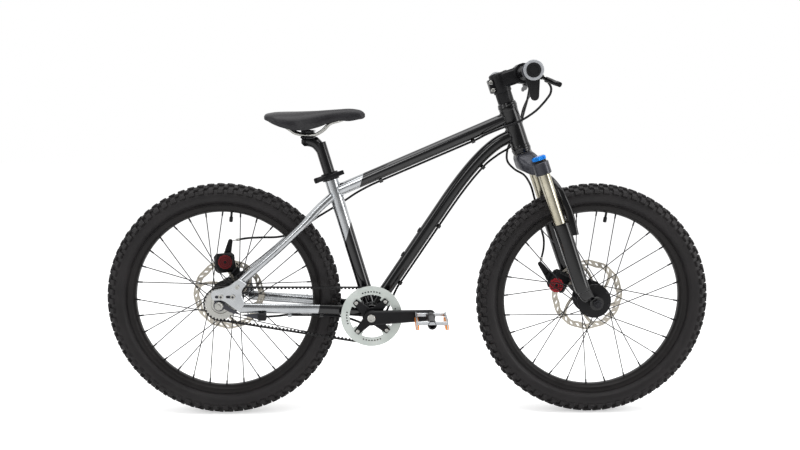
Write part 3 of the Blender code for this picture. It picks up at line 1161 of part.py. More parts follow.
def brake_lever(side, parent):
    """The perch on the bar, and the lever whose fork straddles the perch's tongue."""
    frame = bar_frame(side, PERCH_START)
    middle = PERCH_WIDTH / 2
    perch = solid(rod(PERCH_RADIUS, 0, PERCH_WIDTH, TUBE_SIDES), "brake_perch_" + side, "satin_black",
                  frame, parent)
    arm = block((0.024, 0.014, 0.012), at(0.012, 0, middle), bevel=0.002)
    tongue = prism(link((0.020, middle), (LEVER_PIVOT, middle), TONGUE_RADIUS, TONGUE_RADIUS, 5),
                   -TONGUE_HALF, TONGUE_HALF)
    barrel = rod(0.0045, -0.014, 0.005, 8, at(0.0240, 0, 0))
    join(perch, solid(arm, frame=frame), solid(tongue, frame=frame), solid(barrel, frame=frame))
    cut(perch, solid(rod(BAR_BORE, -0.02, 0.05, TUBE_SIDES), frame=frame))

    hinge = pivot("brake_lever_" + side + "_pivot", frame @ at(LEVER_PIVOT, 0, middle) @ FLAT, parent)
    path = [(LEVER_PIVOT, 0, middle - 0.009), (LEVER_PIVOT + 0.002, 0, middle + 0.006),
            (LEVER_PIVOT + 0.009, 0, middle + 0.024), (LEVER_PIVOT + 0.017, 0, middle + 0.044),
            (LEVER_PIVOT + 0.017, 0, middle + 0.068), (LEVER_PIVOT + 0.022, 0, middle + 0.083)]
    sizes = [(0.0062, LEVER_HALF_HEIGHT), (0.0062, LEVER_HALF_HEIGHT), (0.0046, LEVER_HALF_HEIGHT),
             (0.0036, 0.0050), (0.0036, 0.0050), (0.0040, 0.0048)]
    blade = solid(loft(path_frames(path), sizes, 10, power=3.0), "brake_lever_" + side, "satin_black",
                  frame, hinge)
    clear = TONGUE_RADIUS + 0.0035
    slot = prism(link((LEVER_PIVOT - 0.030, middle), (LEVER_PIVOT, middle), clear, clear, 5),
                 -TONGUE_HALF - GAP, TONGUE_HALF + GAP)
    wide = block((0.030, 2 * (TONGUE_HALF + GAP), 0.024), at(LEVER_PIVOT, 0, middle - 0.012))
    cut(blade, solid(slot, frame=frame), solid(wide, frame=frame))


def shifter(parent):
    """The gear shifter's body on the bar, and its paddle, which turns round the bar."""
    frame = bar_frame("right", SHIFTER_START)
    body = solid(rod(SHIFTER_RADIUS, 0, SHIFTER_WIDTH, TUBE_SIDES), "shifter_body", "black_plastic", frame,
                 parent)
    outlet = rod(0.004, -0.012, 0.006, 8, at(0.0093, -0.0183, 0))
    join(body, solid(outlet, frame=frame))
    cut(body, solid(rod(BAR_BORE, -0.02, 0.05, TUBE_SIDES), frame=frame))
    frame = bar_frame("right", SHIFTER_START + SHIFTER_WIDTH * cos(radians(BAR_BACK_SWEEP)) + 2 * GAP)
    hinge = pivot("shifter_paddle_pivot", frame, parent)
    down = frame.to_3x3().inverted() @ Vector((0.0066, 0, -0.0486))
    reach = PADDLE_REACH / sqrt(down.x ** 2 + down.y ** 2)
    outline = link((0, 0), (down.x * reach, -down.y * reach), 0.0165, 0.0085)
    paddle = solid(prism(outline, 0, PADDLE_WIDTH, FLAT), "shifter_paddle", "black_plastic", frame, hinge)
    hole = rod(bore(BAR_RADIUS, TUBE_SIDES, RUN_GAP), -0.02, 0.05, TUBE_SIDES)
    cut(paddle, solid(hole, frame=frame))


# Cable housings: routes from the lever or shifter to the brake or the hub

REAR_BRAKE_ROUTE = [
    (0.6680, -0.1175, 0.7325), (0.6800, -0.110, 0.7250), (0.6890, -0.103, 0.7120), (0.6890, -0.097, 0.7020),
    (0.6830, -0.088, 0.6900), (0.6745, -0.079, 0.6780), (0.6655, -0.068, 0.6670), (0.6540, -0.057, 0.6570),
    (0.6430, -0.047, 0.6490), (0.6300, -0.042, 0.6420), (0.5960, -0.031, 0.6285), (0.5660, -0.016, 0.6150),
]
REAR_BRAKE_REAR_ROUTE = [
    (0.286, 0.012, 0.4860), (0.262, 0.024, 0.4690), (0.235, 0.030, 0.4520), (0.199, 0.031, 0.4300),
    (0.165, 0.033, 0.4060), (0.140, 0.0375, 0.3930), (0.118, 0.0430, 0.3870), (0.071, 0.0540, 0.3835),
    (0.040, 0.0590, 0.3810), (0.021, 0.0610, 0.3775),
]
SHIFT_ROUTE = [
    (0.6417, -0.138, 0.7240), (0.6430, -0.120, 0.7190), (0.6460, -0.090, 0.7060), (0.6485, -0.055, 0.6895),
    (0.6500, -0.010, 0.6680), (0.6500, 0.022, 0.6480), (0.6450, 0.032, 0.6160), (0.6280, 0.027, 0.5900),
    (0.5980, 0.010, 0.5720),
]
SHIFT_REAR_ROUTE = [
    (0.3620, -0.003, 0.2440), (0.3500, -0.009, 0.2200), (0.3340, -0.016, 0.2035), (0.3120, -0.022, 0.2020),
    (0.2880, -0.0275, 0.2120), (0.2640, -0.0330, 0.2215), (0.2390, -0.0380, 0.2250),
]
SHIFT_END_ROUTE = [(0.1250, -0.0590, 0.2305), (0.1000, -0.0690, 0.2310)]
FRONT_BRAKE_ROUTE = [
    (0.6680, 0.1175, 0.7325), (0.6790, 0.110, 0.7260), (0.6850, 0.101, 0.7120), (0.6760, 0.078, 0.7010),
    (0.6640, 0.052, 0.6880), (0.6540, 0.038, 0.6680), (0.6480, 0.034, 0.6450), (0.6370, 0.034, 0.6160),
    (0.6210, 0.037, 0.5800), (0.6220, 0.042, 0.5560), (0.6380, 0.045, 0.5380), (0.6610, 0.0455, 0.5240),
    (0.6740, 0.047, 0.5050), (0.6850, 0.050, 0.4730), (0.6940, 0.053, 0.4400), (0.7030, 0.055, 0.4020),
    (0.7090, 0.056, 0.3800), (0.7090, 0.054, 0.3600), (0.7035, 0.0510, 0.3340),
]


def through(clips):
    """Two points of a route in each clip."""
    return [clip @ Vector((0, 0, distance)) for clip in clips for distance in (0.008, -0.008)]


def housing(name, route, parent):
    """A cable housing: a round tube along a smooth curve through the route's points."""
    data = bpy.data.curves.new(name, "CURVE")
    data.dimensions = "3D"
    data.bevel_depth = HOUSING_RADIUS
    data.bevel_resolution = 1
    data.use_fill_caps = True
    path = smooth_path(route)
    spline = data.splines.new("POLY")
    spline.points.add(len(path) - 1)
    for spline_point, point in zip(spline.points, path):
        spline_point.co = (*point, 1)
    data.materials.append(finish("black_plastic"))
    return place(bpy.data.objects.new(name, data), Matrix.Identity(4), parent)


def cables(frame_parent, steering):
    housing("rear_brake_cable", on_side(REAR_BRAKE_ROUTE, 1) + through(TOP_TUBE_CLIPS)
            + on_side(REAR_BRAKE_REAR_ROUTE, 1), frame_parent)
    housing("shift_cable", on_side(SHIFT_ROUTE, 1) + through(DOWN_TUBE_CLIPS) + on_side(SHIFT_REAR_ROUTE, 1)
            + through(CHAINSTAY_CLIPS) + on_side(SHIFT_END_ROUTE, 1), frame_parent)
    housing("front_brake_cable", on_side(FRONT_BRAKE_ROUTE, 1), steering)


def wheel(side, parent):
    centre, count, phase, first_sign, valve, flanges, shell, right_end, right_radius, rotor_y, left_end = {
        "rear": (REAR_AXLE, REAR_SPOKES, 90.0, 1, 84.4, REAR_FLANGES, REAR_SHELL_RADIUS,
                 REAR_FLANGES[0] - 0.0118, 0.024, REAR_ROTOR_Y, REAR_DROPOUT_Y - GAP),
        "front": (FRONT_AXLE, FRONT_SPOKES, 11.0, -1, 81.7, FRONT_FLANGES, FRONT_SHELL_RADIUS,
                  -FRONT_DROPOUT_Y + GAP, HUB_END_RADIUS, FRONT_ROTOR_Y, FRONT_DROPOUT_Y - GAP),
    }[side]
    hinge = pivot(side + "_wheel_pivot", at(*centre) @ ACROSS, parent)
    tyre(side + "_tyre", hinge, centre)
    rim(side + "_rim", hinge, centre, valve)
    hub(side + "_hub", hinge, centre, flanges, shell, right_end, right_radius, rotor_y, left_end,
        spokes(count, flanges, phase, first_sign))
    rotor(side + "_rotor", hinge, centre, rotor_y)


def build():
    for obj in list(bpy.data.objects):
        bpy.data.objects.remove(obj, do_unlink=True)
    frame = pivot("frame", Matrix.Identity(4))
    front_frame(frame)
    headset(frame)
    for side in ("right", "left"):
        stays(side, frame)
        slider(side, frame)
    axle("rear_axle", frame, REAR_AXLE, DROPOUT_Y + SHIFT_ARM_THICKNESS + GAP, DROPOUT_Y)
    rear_brake(frame)
    belt(frame)
    wheel("rear", frame)
    rear_sprocket(pivot("driver_pivot", at(*REAR_AXLE) @ ACROSS, frame))
    crank = pivot("crank_pivot", at(*BB_CENTRE) @ ACROSS, frame)
    front_pulley(crank)
    crank_spindle(crank)
    for side in ("right", "left"):
        crank_arm(side, crank)
        pedal(side, crank)
    seat_clamp(frame)
    seat = pivot("seat_pivot", SEAT, frame)
    seatpost(seat)
    saddle_rails(seat)
    saddle(seat)
    steering = pivot("steering_pivot", STEER, frame)
    fork_crown(steering)
    stanchions(steering)
    fork_knob(steering)
    stem(steering)
    handlebar(steering)
    for side in ("right", "left"):
        grip(side, steering)
        brake_lever(side, steering)
    shifter(steering)
    fork = pivot("fork_pivot", STEER, steering)
    fork_lowers(fork)
    front_brake(fork)
    nut_y = FRONT_DROPOUT_Y + FORK_DROPOUT_THICKNESS + 2 * GAP
    axle("front_axle", fork, FRONT_AXLE, nut_y, nut_y)
    wheel("front", fork)
    cables(frame, steering)


build()
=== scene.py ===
# %% [markdown]
# # A kids' mountain bike
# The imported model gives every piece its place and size. This file gives the pieces their looks:
# round surfaces that are truly round, knobs on the tyres, teeth on the belt, and a finish for each
# surface. Lengths are metres, +X is forward, +Y is the rider's left and +Z is up.

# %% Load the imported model
import json
from math import acos, atan2, cos, pi, radians, sin, tan

import bmesh
import bpy
import numpy as np
from mathutils import Matrix

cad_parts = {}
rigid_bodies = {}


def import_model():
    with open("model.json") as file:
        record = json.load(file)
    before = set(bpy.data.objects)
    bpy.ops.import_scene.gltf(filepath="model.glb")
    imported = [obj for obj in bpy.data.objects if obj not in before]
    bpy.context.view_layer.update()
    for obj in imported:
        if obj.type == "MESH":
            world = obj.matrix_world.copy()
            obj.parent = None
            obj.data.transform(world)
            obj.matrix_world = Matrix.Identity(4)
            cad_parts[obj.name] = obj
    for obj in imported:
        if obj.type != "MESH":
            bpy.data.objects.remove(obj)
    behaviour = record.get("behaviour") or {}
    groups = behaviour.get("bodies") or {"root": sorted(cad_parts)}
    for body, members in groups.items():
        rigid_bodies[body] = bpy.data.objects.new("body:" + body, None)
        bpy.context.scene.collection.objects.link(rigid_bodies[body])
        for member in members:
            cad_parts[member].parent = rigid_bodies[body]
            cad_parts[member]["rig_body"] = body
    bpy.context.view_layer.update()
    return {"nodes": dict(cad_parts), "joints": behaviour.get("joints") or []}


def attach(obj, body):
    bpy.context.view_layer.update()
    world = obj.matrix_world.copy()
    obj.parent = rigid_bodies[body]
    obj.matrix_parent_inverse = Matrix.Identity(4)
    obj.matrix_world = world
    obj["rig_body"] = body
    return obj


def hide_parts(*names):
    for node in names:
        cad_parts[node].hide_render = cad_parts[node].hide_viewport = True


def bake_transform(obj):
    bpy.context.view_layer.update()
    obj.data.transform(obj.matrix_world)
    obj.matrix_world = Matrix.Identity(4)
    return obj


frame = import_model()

JOINTS = {joint["name"]: joint for joint in frame["joints"]}

# %% [markdown]
# The camera stands where the photographer stood: to the right of the bike, at saddle height,
# looking slightly down. Its direction is written as angles, and the matrix is worked out from them,
# which is easier to read than three Euler angles.

# %% Camera
CAMERA_PLACE = (-0.0535, -1.955, 0.670)
CAMERA_YAW, CAMERA_PITCH, CAMERA_ROLL = (radians(a) for a in (1.00, 7.33, 0.11))
FOCAL_PIXELS = 904.0
PICTURE_WIDTH = 800.0
SENSOR_MM = 36.0

forward = np.array([sin(CAMERA_YAW) * cos(CAMERA_PITCH), cos(CAMERA_YAW) * cos(CAMERA_PITCH),
                    -sin(CAMERA_PITCH)])
level = np.array([cos(CAMERA_YAW), -sin(CAMERA_YAW), 0.0])
upward = np.cross(level, forward)
right = level * cos(CAMERA_ROLL) + upward * sin(CAMERA_ROLL)
camera = bpy.data.objects.new("camera", bpy.data.cameras.new("camera"))
camera.data.sensor_width = SENSOR_MM
camera.data.lens = FOCAL_PIXELS / PICTURE_WIDTH * SENSOR_MM
bpy.context.scene.collection.objects.link(camera)
camera.matrix_world = Matrix.Translation(CAMERA_PLACE) @ Matrix(
    np.stack([right, np.cross(right, forward), -forward], 1).tolist()).to_4x4()
bpy.context.scene.camera = camera
bpy.context.scene.view_settings.view_transform = "Standard"

# %% [markdown]
# Colours are written as sRGB hex values, as a paint chart gives them, and one function turns them
# to the linear light that a shader needs. One more function adds a node with its settings and
# links, so that each material below reads as a short recipe.

# %% Colour and node helpers
MM = 0.001
# A Mix node's two inputs and its output, when it mixes colours and when it mixes numbers.
COLOUR_A, COLOUR_B, COLOUR_MIXED = 6, 7, 2
NUMBER_A, NUMBER_B, NUMBER_MIXED = 2, 3, 0


def linear(hex_colour):
    """sRGB to linear light: small values are divided by 12.92, the others follow a power of 2.4."""
    srgb = np.array([int(hex_colour[i:i + 2], 16) / 255 for i in (1, 3, 5)])
    light = np.where(srgb <= 0.04045, srgb / 12.92, ((srgb + 0.055) / 1.055) ** 2.4)
    return (*light.tolist(), 1.0)


def add(tree, kind, inputs=None, **settings):
    """Adds a node. Settings are its properties; inputs are values or other nodes' outputs, by socket."""
    node = tree.nodes.new(kind)
    for name, value in settings.items():
        setattr(node, name, value)
    for socket, value in (inputs or {}).items():
        if isinstance(value, bpy.types.NodeSocket):
            tree.links.new(value, node.inputs[socket])
        else:
            node.inputs[socket].default_value = value
    return node


# %% [markdown]
# A product photograph on white is lit by large soft boxes. The background is white only to the eye
# of the camera and in mirrors: the lamps stay at a plain level, so that black stays black. The room
# behind the camera is darker, which gives metal its dark edges.

# %% World, lamps and floor
AMBIENT = 0.62
ROOM_BEHIND_CAMERA = 0.22

world = bpy.data.worlds.new("white studio")
bpy.context.scene.world = world
world.use_nodes = True
sky = world.node_tree
sky.nodes.clear()
rays = add(sky, "ShaderNodeLightPath")
direction = add(sky, "ShaderNodeSeparateXYZ", {0: add(sky, "ShaderNodeTexCoord").outputs["Generated"]})
mirrored = add(sky, "ShaderNodeMapRange", {
    "Value": direction.outputs["Y"], "From Min": -0.75, "From Max": 0.35,
    "To Min": ROOM_BEHIND_CAMERA, "To Max": 1.0})
ambient = add(sky, "ShaderNodeBackground", {"Strength": AMBIENT})
reflected = add(sky, "ShaderNodeBackground", {"Strength": mirrored.outputs[0]})
seen = add(sky, "ShaderNodeBackground", {"Strength": 1.0})
for background in (ambient, reflected, seen):
    background.inputs["Color"].default_value = (1, 1, 1, 1)
glossy = add(sky, "ShaderNodeMixShader", {0: rays.outputs["Is Glossy Ray"], 1: ambient.outputs[0],
                                          2: reflected.outputs[0]})
direct = add(sky, "ShaderNodeMath",
             {0: rays.outputs["Is Camera Ray"], 1: rays.outputs["Is Transmission Ray"]},
             operation="MAXIMUM")
shown = add(sky, "ShaderNodeMixShader", {0: direct.outputs[0], 1: glossy.outputs[0], 2: seen.outputs[0]})
add(sky, "ShaderNodeOutputWorld", {"Surface": shown.outputs[0]})

SOFT_BOXES = [
    # name, place, width, height, power in watts
    ("soft box above", (0.1, -0.3, 2.3), 2.6, 1.4, 30.0),
    ("soft box ahead", (2.3, -0.9, 1.0), 0.9, 1.8, 22.0),
    ("soft box behind the bike", (-2.3, -1.1, 1.1), 0.9, 1.8, 12.0),
    ("strip beside the camera", (-0.9, -2.4, 1.9), 0.5, 1.6, 12.0),
]
AIM = np.array([0.0, 0.0, 0.35])
for name, place, width, height, power in SOFT_BOXES:
    lamp = bpy.data.lights.new(name, "AREA")
    lamp.shape, lamp.size, lamp.size_y, lamp.energy = "RECTANGLE", width, height, power
    holder = bpy.data.objects.new(name, lamp)
    bpy.context.scene.collection.objects.link(holder)
    away = np.array(place) - AIM
    back = away / np.linalg.norm(away)
    side = np.cross([0.0, 1.0, 0.0] if abs(back[2]) > 0.9 else [0.0, 0.0, 1.0], back)
    side /= np.linalg.norm(side)
    holder.matrix_world = Matrix.Translation(place) @ Matrix(
        np.stack([side, np.cross(back, side), back], 1).tolist()).to_4x4()

FLOOR_LIFT = 0.47
paper = bpy.data.materials.new("white paper floor")
paper.use_nodes = True
tree = paper.node_tree
tree.nodes.clear()
rays = add(tree, "ShaderNodeLightPath")
lift = add(tree, "ShaderNodeMath", {0: rays.outputs["Is Camera Ray"], 1: FLOOR_LIFT}, operation="MULTIPLY")
sheet = add(tree, "ShaderNodeBsdfDiffuse", {"Color": linear("#f4f4f4")})
glow = add(tree, "ShaderNodeEmission", {"Strength": lift.outputs[0]})
both = add(tree, "ShaderNodeAddShader", {0: sheet.outputs[0], 1: glow.outputs[0]})
add(tree, "ShaderNodeOutputMaterial", {"Surface": both.outputs[0]})
FLOOR_HALF, FLOOR_DROP = 9.0, 0.0002
floor_mesh = bpy.data.meshes.new("floor")
floor_corners = [(x * FLOOR_HALF, y * FLOOR_HALF, -FLOOR_DROP)
                 for x, y in ((-1, -1), (1, -1), (1, 1), (-1, 1))]
floor_mesh.from_pydata(floor_corners, [], [(0, 1, 2, 3)])
floor_mesh.materials.append(paper)
floor = bpy.data.objects.new("floor", floor_mesh)
bpy.context.scene.collection.objects.link(floor)

# %% [markdown]
# ## Finishes
# Most surfaces here are one of a few kinds: paint, bare or anodised metal, moulded plastic and
# rubber. On each, a fine grain changes the colour, the gloss and the height together, as it does on
# the real thing, and a slow cloudiness of a few centimetres keeps large areas from looking
# computed. One function makes them all, and what changes is the grain's real size, its stretch
# along the brushing, and its depth.

# %% The common recipe of a finish
CLOUD_MM = 45.0


def surface_finish(name, dark, light, roughness, metallic=0.0, grain_mm=1.0, stretch=(1, 1, 1), depth_mm=0.01,
                   coat=0.0, specular=0.5, pattern="noise"):
    """A Principled material whose colour, roughness and height follow a grain and a slow cloudiness."""
    made = bpy.data.materials.new(name)
    made.use_nodes = True
    tree = made.node_tree
    shader = tree.nodes["Principled BSDF"]
    place = add(tree, "ShaderNodeTexCoord").outputs["Object"]
    along = add(tree, "ShaderNodeMapping", {"Vector": place, "Scale": stretch})
    if pattern == "cells":
        grain = add(tree, "ShaderNodeTexVoronoi", {"Vector": along.outputs[0], "Scale": 1 / (grain_mm * MM)},
                    feature="SMOOTH_F1")
    else:
        grain = add(tree, "ShaderNodeTexNoise", {"Vector": along.outputs[0], "Scale": 1 / (grain_mm * MM),
                                                 "Detail": 3.0, "Roughness": 0.6})
    cloud = add(tree, "ShaderNodeTexNoise", {"Vector": place, "Scale": 1 / (CLOUD_MM * MM), "Detail": 2.0})
    blend = add(tree, "ShaderNodeMath", {0: grain.outputs[0], 1: cloud.outputs[0]}, operation="MULTIPLY")
    spread = add(tree, "ShaderNodeMapRange", {"Value": blend.outputs[0], "From Min": 0.1, "From Max": 0.45})
    colour = add(tree, "ShaderNodeMix",
                 {0: spread.outputs[0], COLOUR_A: linear(dark), COLOUR_B: linear(light)}, data_type="RGBA")
    rough = add(tree, "ShaderNodeMapRange", {"Value": spread.outputs[0], "To Min": roughness[0],
                                             "To Max": roughness[1]})
    bump = add(tree, "ShaderNodeBump", {"Height": grain.outputs[0], "Distance": depth_mm * MM})
    tree.links.new(colour.outputs[COLOUR_MIXED], shader.inputs["Base Color"])
    tree.links.new(rough.outputs[0], shader.inputs["Roughness"])
    tree.links.new(bump.outputs[0], shader.inputs["Normal"])
    shader.inputs["Metallic"].default_value = metallic
    shader.inputs["Coat Weight"].default_value = coat
    shader.inputs["Coat Roughness"].default_value = 0.12
    shader.inputs["Specular IOR Level"].default_value = specular
    return made


# %% [markdown]
# Wet paint levels out but keeps a faint orange peel, about two millimetres across and a few microns
# deep. It is what bends the edge of a reflection on a painted tube. Anodising and plating are
# thinner than that and show the metal's own grain instead.

# %% Paints and metals
BARE_METAL = dict(dark="#a6a9ac", light="#cfd1d3", roughness=(0.20, 0.28), metallic=1.0, grain_mm=0.5,
                  stretch=(0.08, 1, 1), depth_mm=0.0004)
GLOSS_BLACK = surface_finish("gloss black enamel on aluminium", "#030304", "#08080a", (0.18, 0.26),
                             grain_mm=2.2, depth_mm=0.002, coat=0.6, specular=0.2)
RAW_SILVER = surface_finish("clear lacquered brushed aluminium", **BARE_METAL, coat=0.15)
SATIN_BLACK = surface_finish("black anodised aluminium", "#08080a", "#161618", (0.28, 0.40), 0.2,
                             grain_mm=0.35, depth_mm=0.004, specular=0.25)
RIM_BLACK = surface_finish("bead blasted black rim", "#100e0e", "#1d1a1a", (0.34, 0.46), 0.2,
                           grain_mm=0.3, depth_mm=0.005, specular=0.3)
GUNMETAL = surface_finish("cast magnesium with grey metallic paint", "#27282e", "#3f4048", (0.3, 0.44), 0.55,
                          grain_mm=0.6, depth_mm=0.008, coat=0.3)
CHAMPAGNE = surface_finish("warm nickel plated stanchion", "#a8a28e", "#d6d1bf", (0.18, 0.26), 1.0,
                           grain_mm=0.6, stretch=(1, 1, 0.1), depth_mm=0.001)
BLUE_ANODISED = surface_finish("blue anodised aluminium", "#0754b0", "#2193ee", (0.18, 0.30), 0.75,
                               grain_mm=0.4, depth_mm=0.003)
RED_ANODISED = surface_finish("red anodised aluminium", "#7c1219", "#b8232e", (0.28, 0.42), 0.55,
                              grain_mm=0.4, depth_mm=0.004)
# The rear pad knob is the same red anodising as the front one, drawn darker as painted shade for the shade
# that falls on it.
SHADED_RED_ANODISED = surface_finish("red anodised aluminium with painted shade", "#3d070c", "#8a1820", (0.26, 0.40), 0.55,
                          grain_mm=0.4, depth_mm=0.004)
PULLEY_GREY = surface_finish("pale satin anodised pulley", "#b4bbb6", "#d3d8d4", (0.38, 0.5), 0.35,
                             grain_mm=0.35, depth_mm=0.004)
BRIGHT_STEEL = surface_finish("zinc plated steel", "#9c9c98", "#cbcac5", (0.2, 0.34), 1.0,
                              grain_mm=0.5, depth_mm=0.004)
DARK_STEEL = surface_finish("black oxide spoke wire", "#19191b", "#39393c", (0.26, 0.4), 0.8,
                            grain_mm=0.5, depth_mm=0.002)

# %% [markdown]
# Rubber is matt because its surface is rough on a scale that the eye can't part. Tyre rubber also
# blooms: wax comes out and leaves the sidewall slightly grey. Vinyl is embossed by a roller with a
# leather grain of about a millimetre, which is drawn with rounded cells.

# %% Rubbers, plastics and vinyl
TYRE_RUBBER = surface_finish("tyre rubber with wax bloom", "#110f10", "#221f20", (0.44, 0.6),
                             grain_mm=0.9, depth_mm=0.02, specular=0.3)
BELT_RUBBER = surface_finish("polyurethane belt", "#101011", "#1f1e1f", (0.46, 0.6),
                             grain_mm=0.6, depth_mm=0.01, specular=0.25)
GRIP_RUBBER = surface_finish("soft grip rubber", "#0c0c0e", "#19191b", (0.5, 0.64),
                             grain_mm=0.5, depth_mm=0.015, specular=0.25)
BLACK_PLASTIC = surface_finish("moulded black nylon", "#0a0a0c", "#18181b", (0.34, 0.48),
                               grain_mm=0.4, depth_mm=0.008, specular=0.25)
HOUSING_PLASTIC = surface_finish("extruded black cable housing", "#08080a", "#141416", (0.28, 0.4),
                                 grain_mm=0.5, depth_mm=0.003, specular=0.25)
PALE_PLASTIC = surface_finish("pale grey moulded ring", "#8c8e92", "#b0b2b6", (0.3, 0.42),
                              grain_mm=0.5, depth_mm=0.006)
AMBER_LENS = surface_finish("amber reflector lens", "#d06a00", "#ffa818", (0.2, 0.3),
                            grain_mm=1.6, depth_mm=0.05, specular=0.3, pattern="cells")
VINYL = surface_finish("charcoal vinyl with leather grain", "#141316", "#252428", (0.36, 0.48),
                       grain_mm=1.1, depth_mm=0.02, specular=0.35, pattern="cells")

# %% [markdown]
# The front of the frame is painted black and the rear is bare metal. The line between them is
# masked with tape, so it is a clean slanting edge. A tape line is a plane that cuts the tube, and a
# plane is one dot product, so the mask needs no image.

# %% Two tones on one tube


def two_tone(name, edge, silver_point):
    """Black paint on one side of a plane and bare metal on the other.

    The plane holds both points of edge, as (x, z), and lies along Y. Silver is on silver_point's side.
    """
    (x0, z0), (x1, z1) = edge
    across = np.array([z1 - z0, 0.0, x0 - x1])
    across *= np.sign(across @ np.array([silver_point[0] - x0, 0.0, silver_point[1] - z0]))
    made = surface_finish(name, **BARE_METAL, coat=0.35)
    tree = made.node_tree
    shader = tree.nodes["Principled BSDF"]
    place = add(tree, "ShaderNodeTexCoord").outputs["Object"]
    from_edge = add(tree, "ShaderNodeVectorMath", {0: place, 1: (x0, 0.0, z0)}, operation="SUBTRACT")
    distance = add(tree, "ShaderNodeVectorMath", {0: from_edge.outputs[0], 1: across.tolist()},
                   operation="DOT_PRODUCT")
    bare = add(tree, "ShaderNodeMath", {0: distance.outputs["Value"], 1: 0.0}, operation="GREATER_THAN")
    for socket, painted in (("Base Color", linear("#0a0a0c")), ("Roughness", 0.13)):
        metal = shader.inputs[socket].links[0].from_socket
        is_colour = socket == "Base Color"
        first, second, result = ((COLOUR_A, COLOUR_B, COLOUR_MIXED) if is_colour
                                 else (NUMBER_A, NUMBER_B, NUMBER_MIXED))
        mixed = add(tree, "ShaderNodeMix", {0: bare.outputs[0], first: painted, second: metal},
                    data_type="RGBA" if is_colour else "FLOAT")
        tree.links.new(mixed.outputs[result], shader.inputs[socket])
    tree.links.new(bare.outputs[0], shader.inputs["Metallic"])
    return made


TOP_TUBE_TONES = two_tone("top tube, masked", ((-0.0993, 0.5285), (-0.1070, 0.5005)), (-0.30, 0.50))
SEAT_TUBE_TONES = two_tone("seat tube, masked", ((-0.1366, 0.3876), (-0.1256, 0.4269)), (-0.30, 0.50))
CHAINSTAY_TONES = two_tone("chainstay, masked", ((-0.1921, 0.2503), (-0.1966, 0.2305)), (-0.35, 0.24))

# %% [markdown]
# A brake disc is ground while it spins, which leaves fine rings. The pattern is one-dimensional: it
# depends only on the distance from the axle.

# %% Ground steel


def ground_steel(name, centre):
    """Steel whose colour and roughness change with the distance from an axle that lies along Y."""
    made = bpy.data.materials.new(name)
    made.use_nodes = True
    tree = made.node_tree
    shader = tree.nodes["Principled BSDF"]
    place = add(tree, "ShaderNodeTexCoord").outputs["Object"]
    from_axle = add(tree, "ShaderNodeVectorMath", {0: place, 1: centre}, operation="SUBTRACT")
    flat = add(tree, "ShaderNodeVectorMath", {0: from_axle.outputs[0], 1: (1, 0, 1)}, operation="MULTIPLY")
    radius = add(tree, "ShaderNodeVectorMath", {0: flat.outputs[0]}, operation="LENGTH")
    rings = add(tree, "ShaderNodeTexNoise", {"W": radius.outputs["Value"], "Scale": 1 / (0.5 * MM),
                                             "Detail": 3.0}, noise_dimensions="1D")
    colour = add(tree, "ShaderNodeMix",
                 {0: rings.outputs[0], COLOUR_A: linear("#a39d92"), COLOUR_B: linear("#d2ccc0")},
                 data_type="RGBA")
    rough = add(tree, "ShaderNodeMapRange", {"Value": rings.outputs[0], "To Min": 0.22, "To Max": 0.42})
    bump = add(tree, "ShaderNodeBump", {"Height": rings.outputs[0], "Distance": 0.004 * MM})
    tree.links.new(colour.outputs[COLOUR_MIXED], shader.inputs["Base Color"])
    tree.links.new(rough.outputs[0], shader.inputs["Roughness"])
    tree.links.new(bump.outputs[0], shader.inputs["Normal"])
    shader.inputs["Metallic"].default_value = 1.0
    return made


# %% [markdown]
# ## Shapes
# Every new piece is a surface on a grid of points: rings of points, one behind the other, joined by
# four-sided faces. A wheel rim is a profile turned about an axle, a tube is a circle carried along
# a path, and a crank is an outline with thickness. Numpy works out all the points at once.

# %% Places and frames


def unit(vectors):
    """Each vector divided by its own length."""
    return vectors / np.linalg.norm(vectors, axis=-1, keepdims=True)


def frame_at(origin, z_axis, y_axis=(0.0, 1.0, 0.0)):
    """A 4x4 frame: Z along z_axis, X square to it and to y_axis, Y as near as it can be to y_axis."""
    z = unit(np.array(z_axis, float))
    x = unit(np.cross(y_axis, z))
    made = np.eye(4)
    made[:3, :] = np.stack([x, np.cross(z, x), z, np.array(origin, float)], 1)
    return made


def moved(x=0.0, y=0.0, z=0.0):
    """A 4x4 shift: the identity with (x, y, z) in its last column."""
    made = np.eye(4)
    made[:3, 3] = (x, y, z)
    return made


def put(place, points):
    """Points of a frame, as points of the world: the rotation times each point, plus the origin."""
    return np.asarray(points, float) @ place[:3, :3].T + place[:3, 3]


ACROSS = np.array([[1, 0, 0, 0], [0, 0, 1, 0], [0, -1, 0, 0], [0, 0, 0, 1]], float)
LEFT = np.array([0.0, 1.0, 0.0])
UP = np.array([0.0, 0.0, 1.0])
REAR_AXLE = np.array(JOINTS["rear_wheel_spin"]["pos_m"])
FRONT_AXLE = np.array(JOINTS["front_wheel_spin"]["pos_m"])
BB = np.array(JOINTS["crank_spin"]["pos_m"])
STEER = frame_at(JOINTS["steering_turn"]["pos_m"], JOINTS["steering_turn"]["axis"])
SEAT = frame_at(BB, JOINTS["seat_height"]["axis"])
OUTWARD = {way: frame_at((0, 0, 0), LEFT * way, (1, 0, 0)) for way in (-1, 1)}


def about(centre):
    """A frame at a centre whose Z runs to the left, for what turns about an axle there."""
    return moved(*centre) @ ACROSS


def from_rear(points):
    """Places given by their distance in front of the rear axle, to the left and above the ground."""
    return np.asarray(points, float) + np.array([REAR_AXLE[0], 0.0, 0.0])


# %% Grids, turned shapes and swept shapes


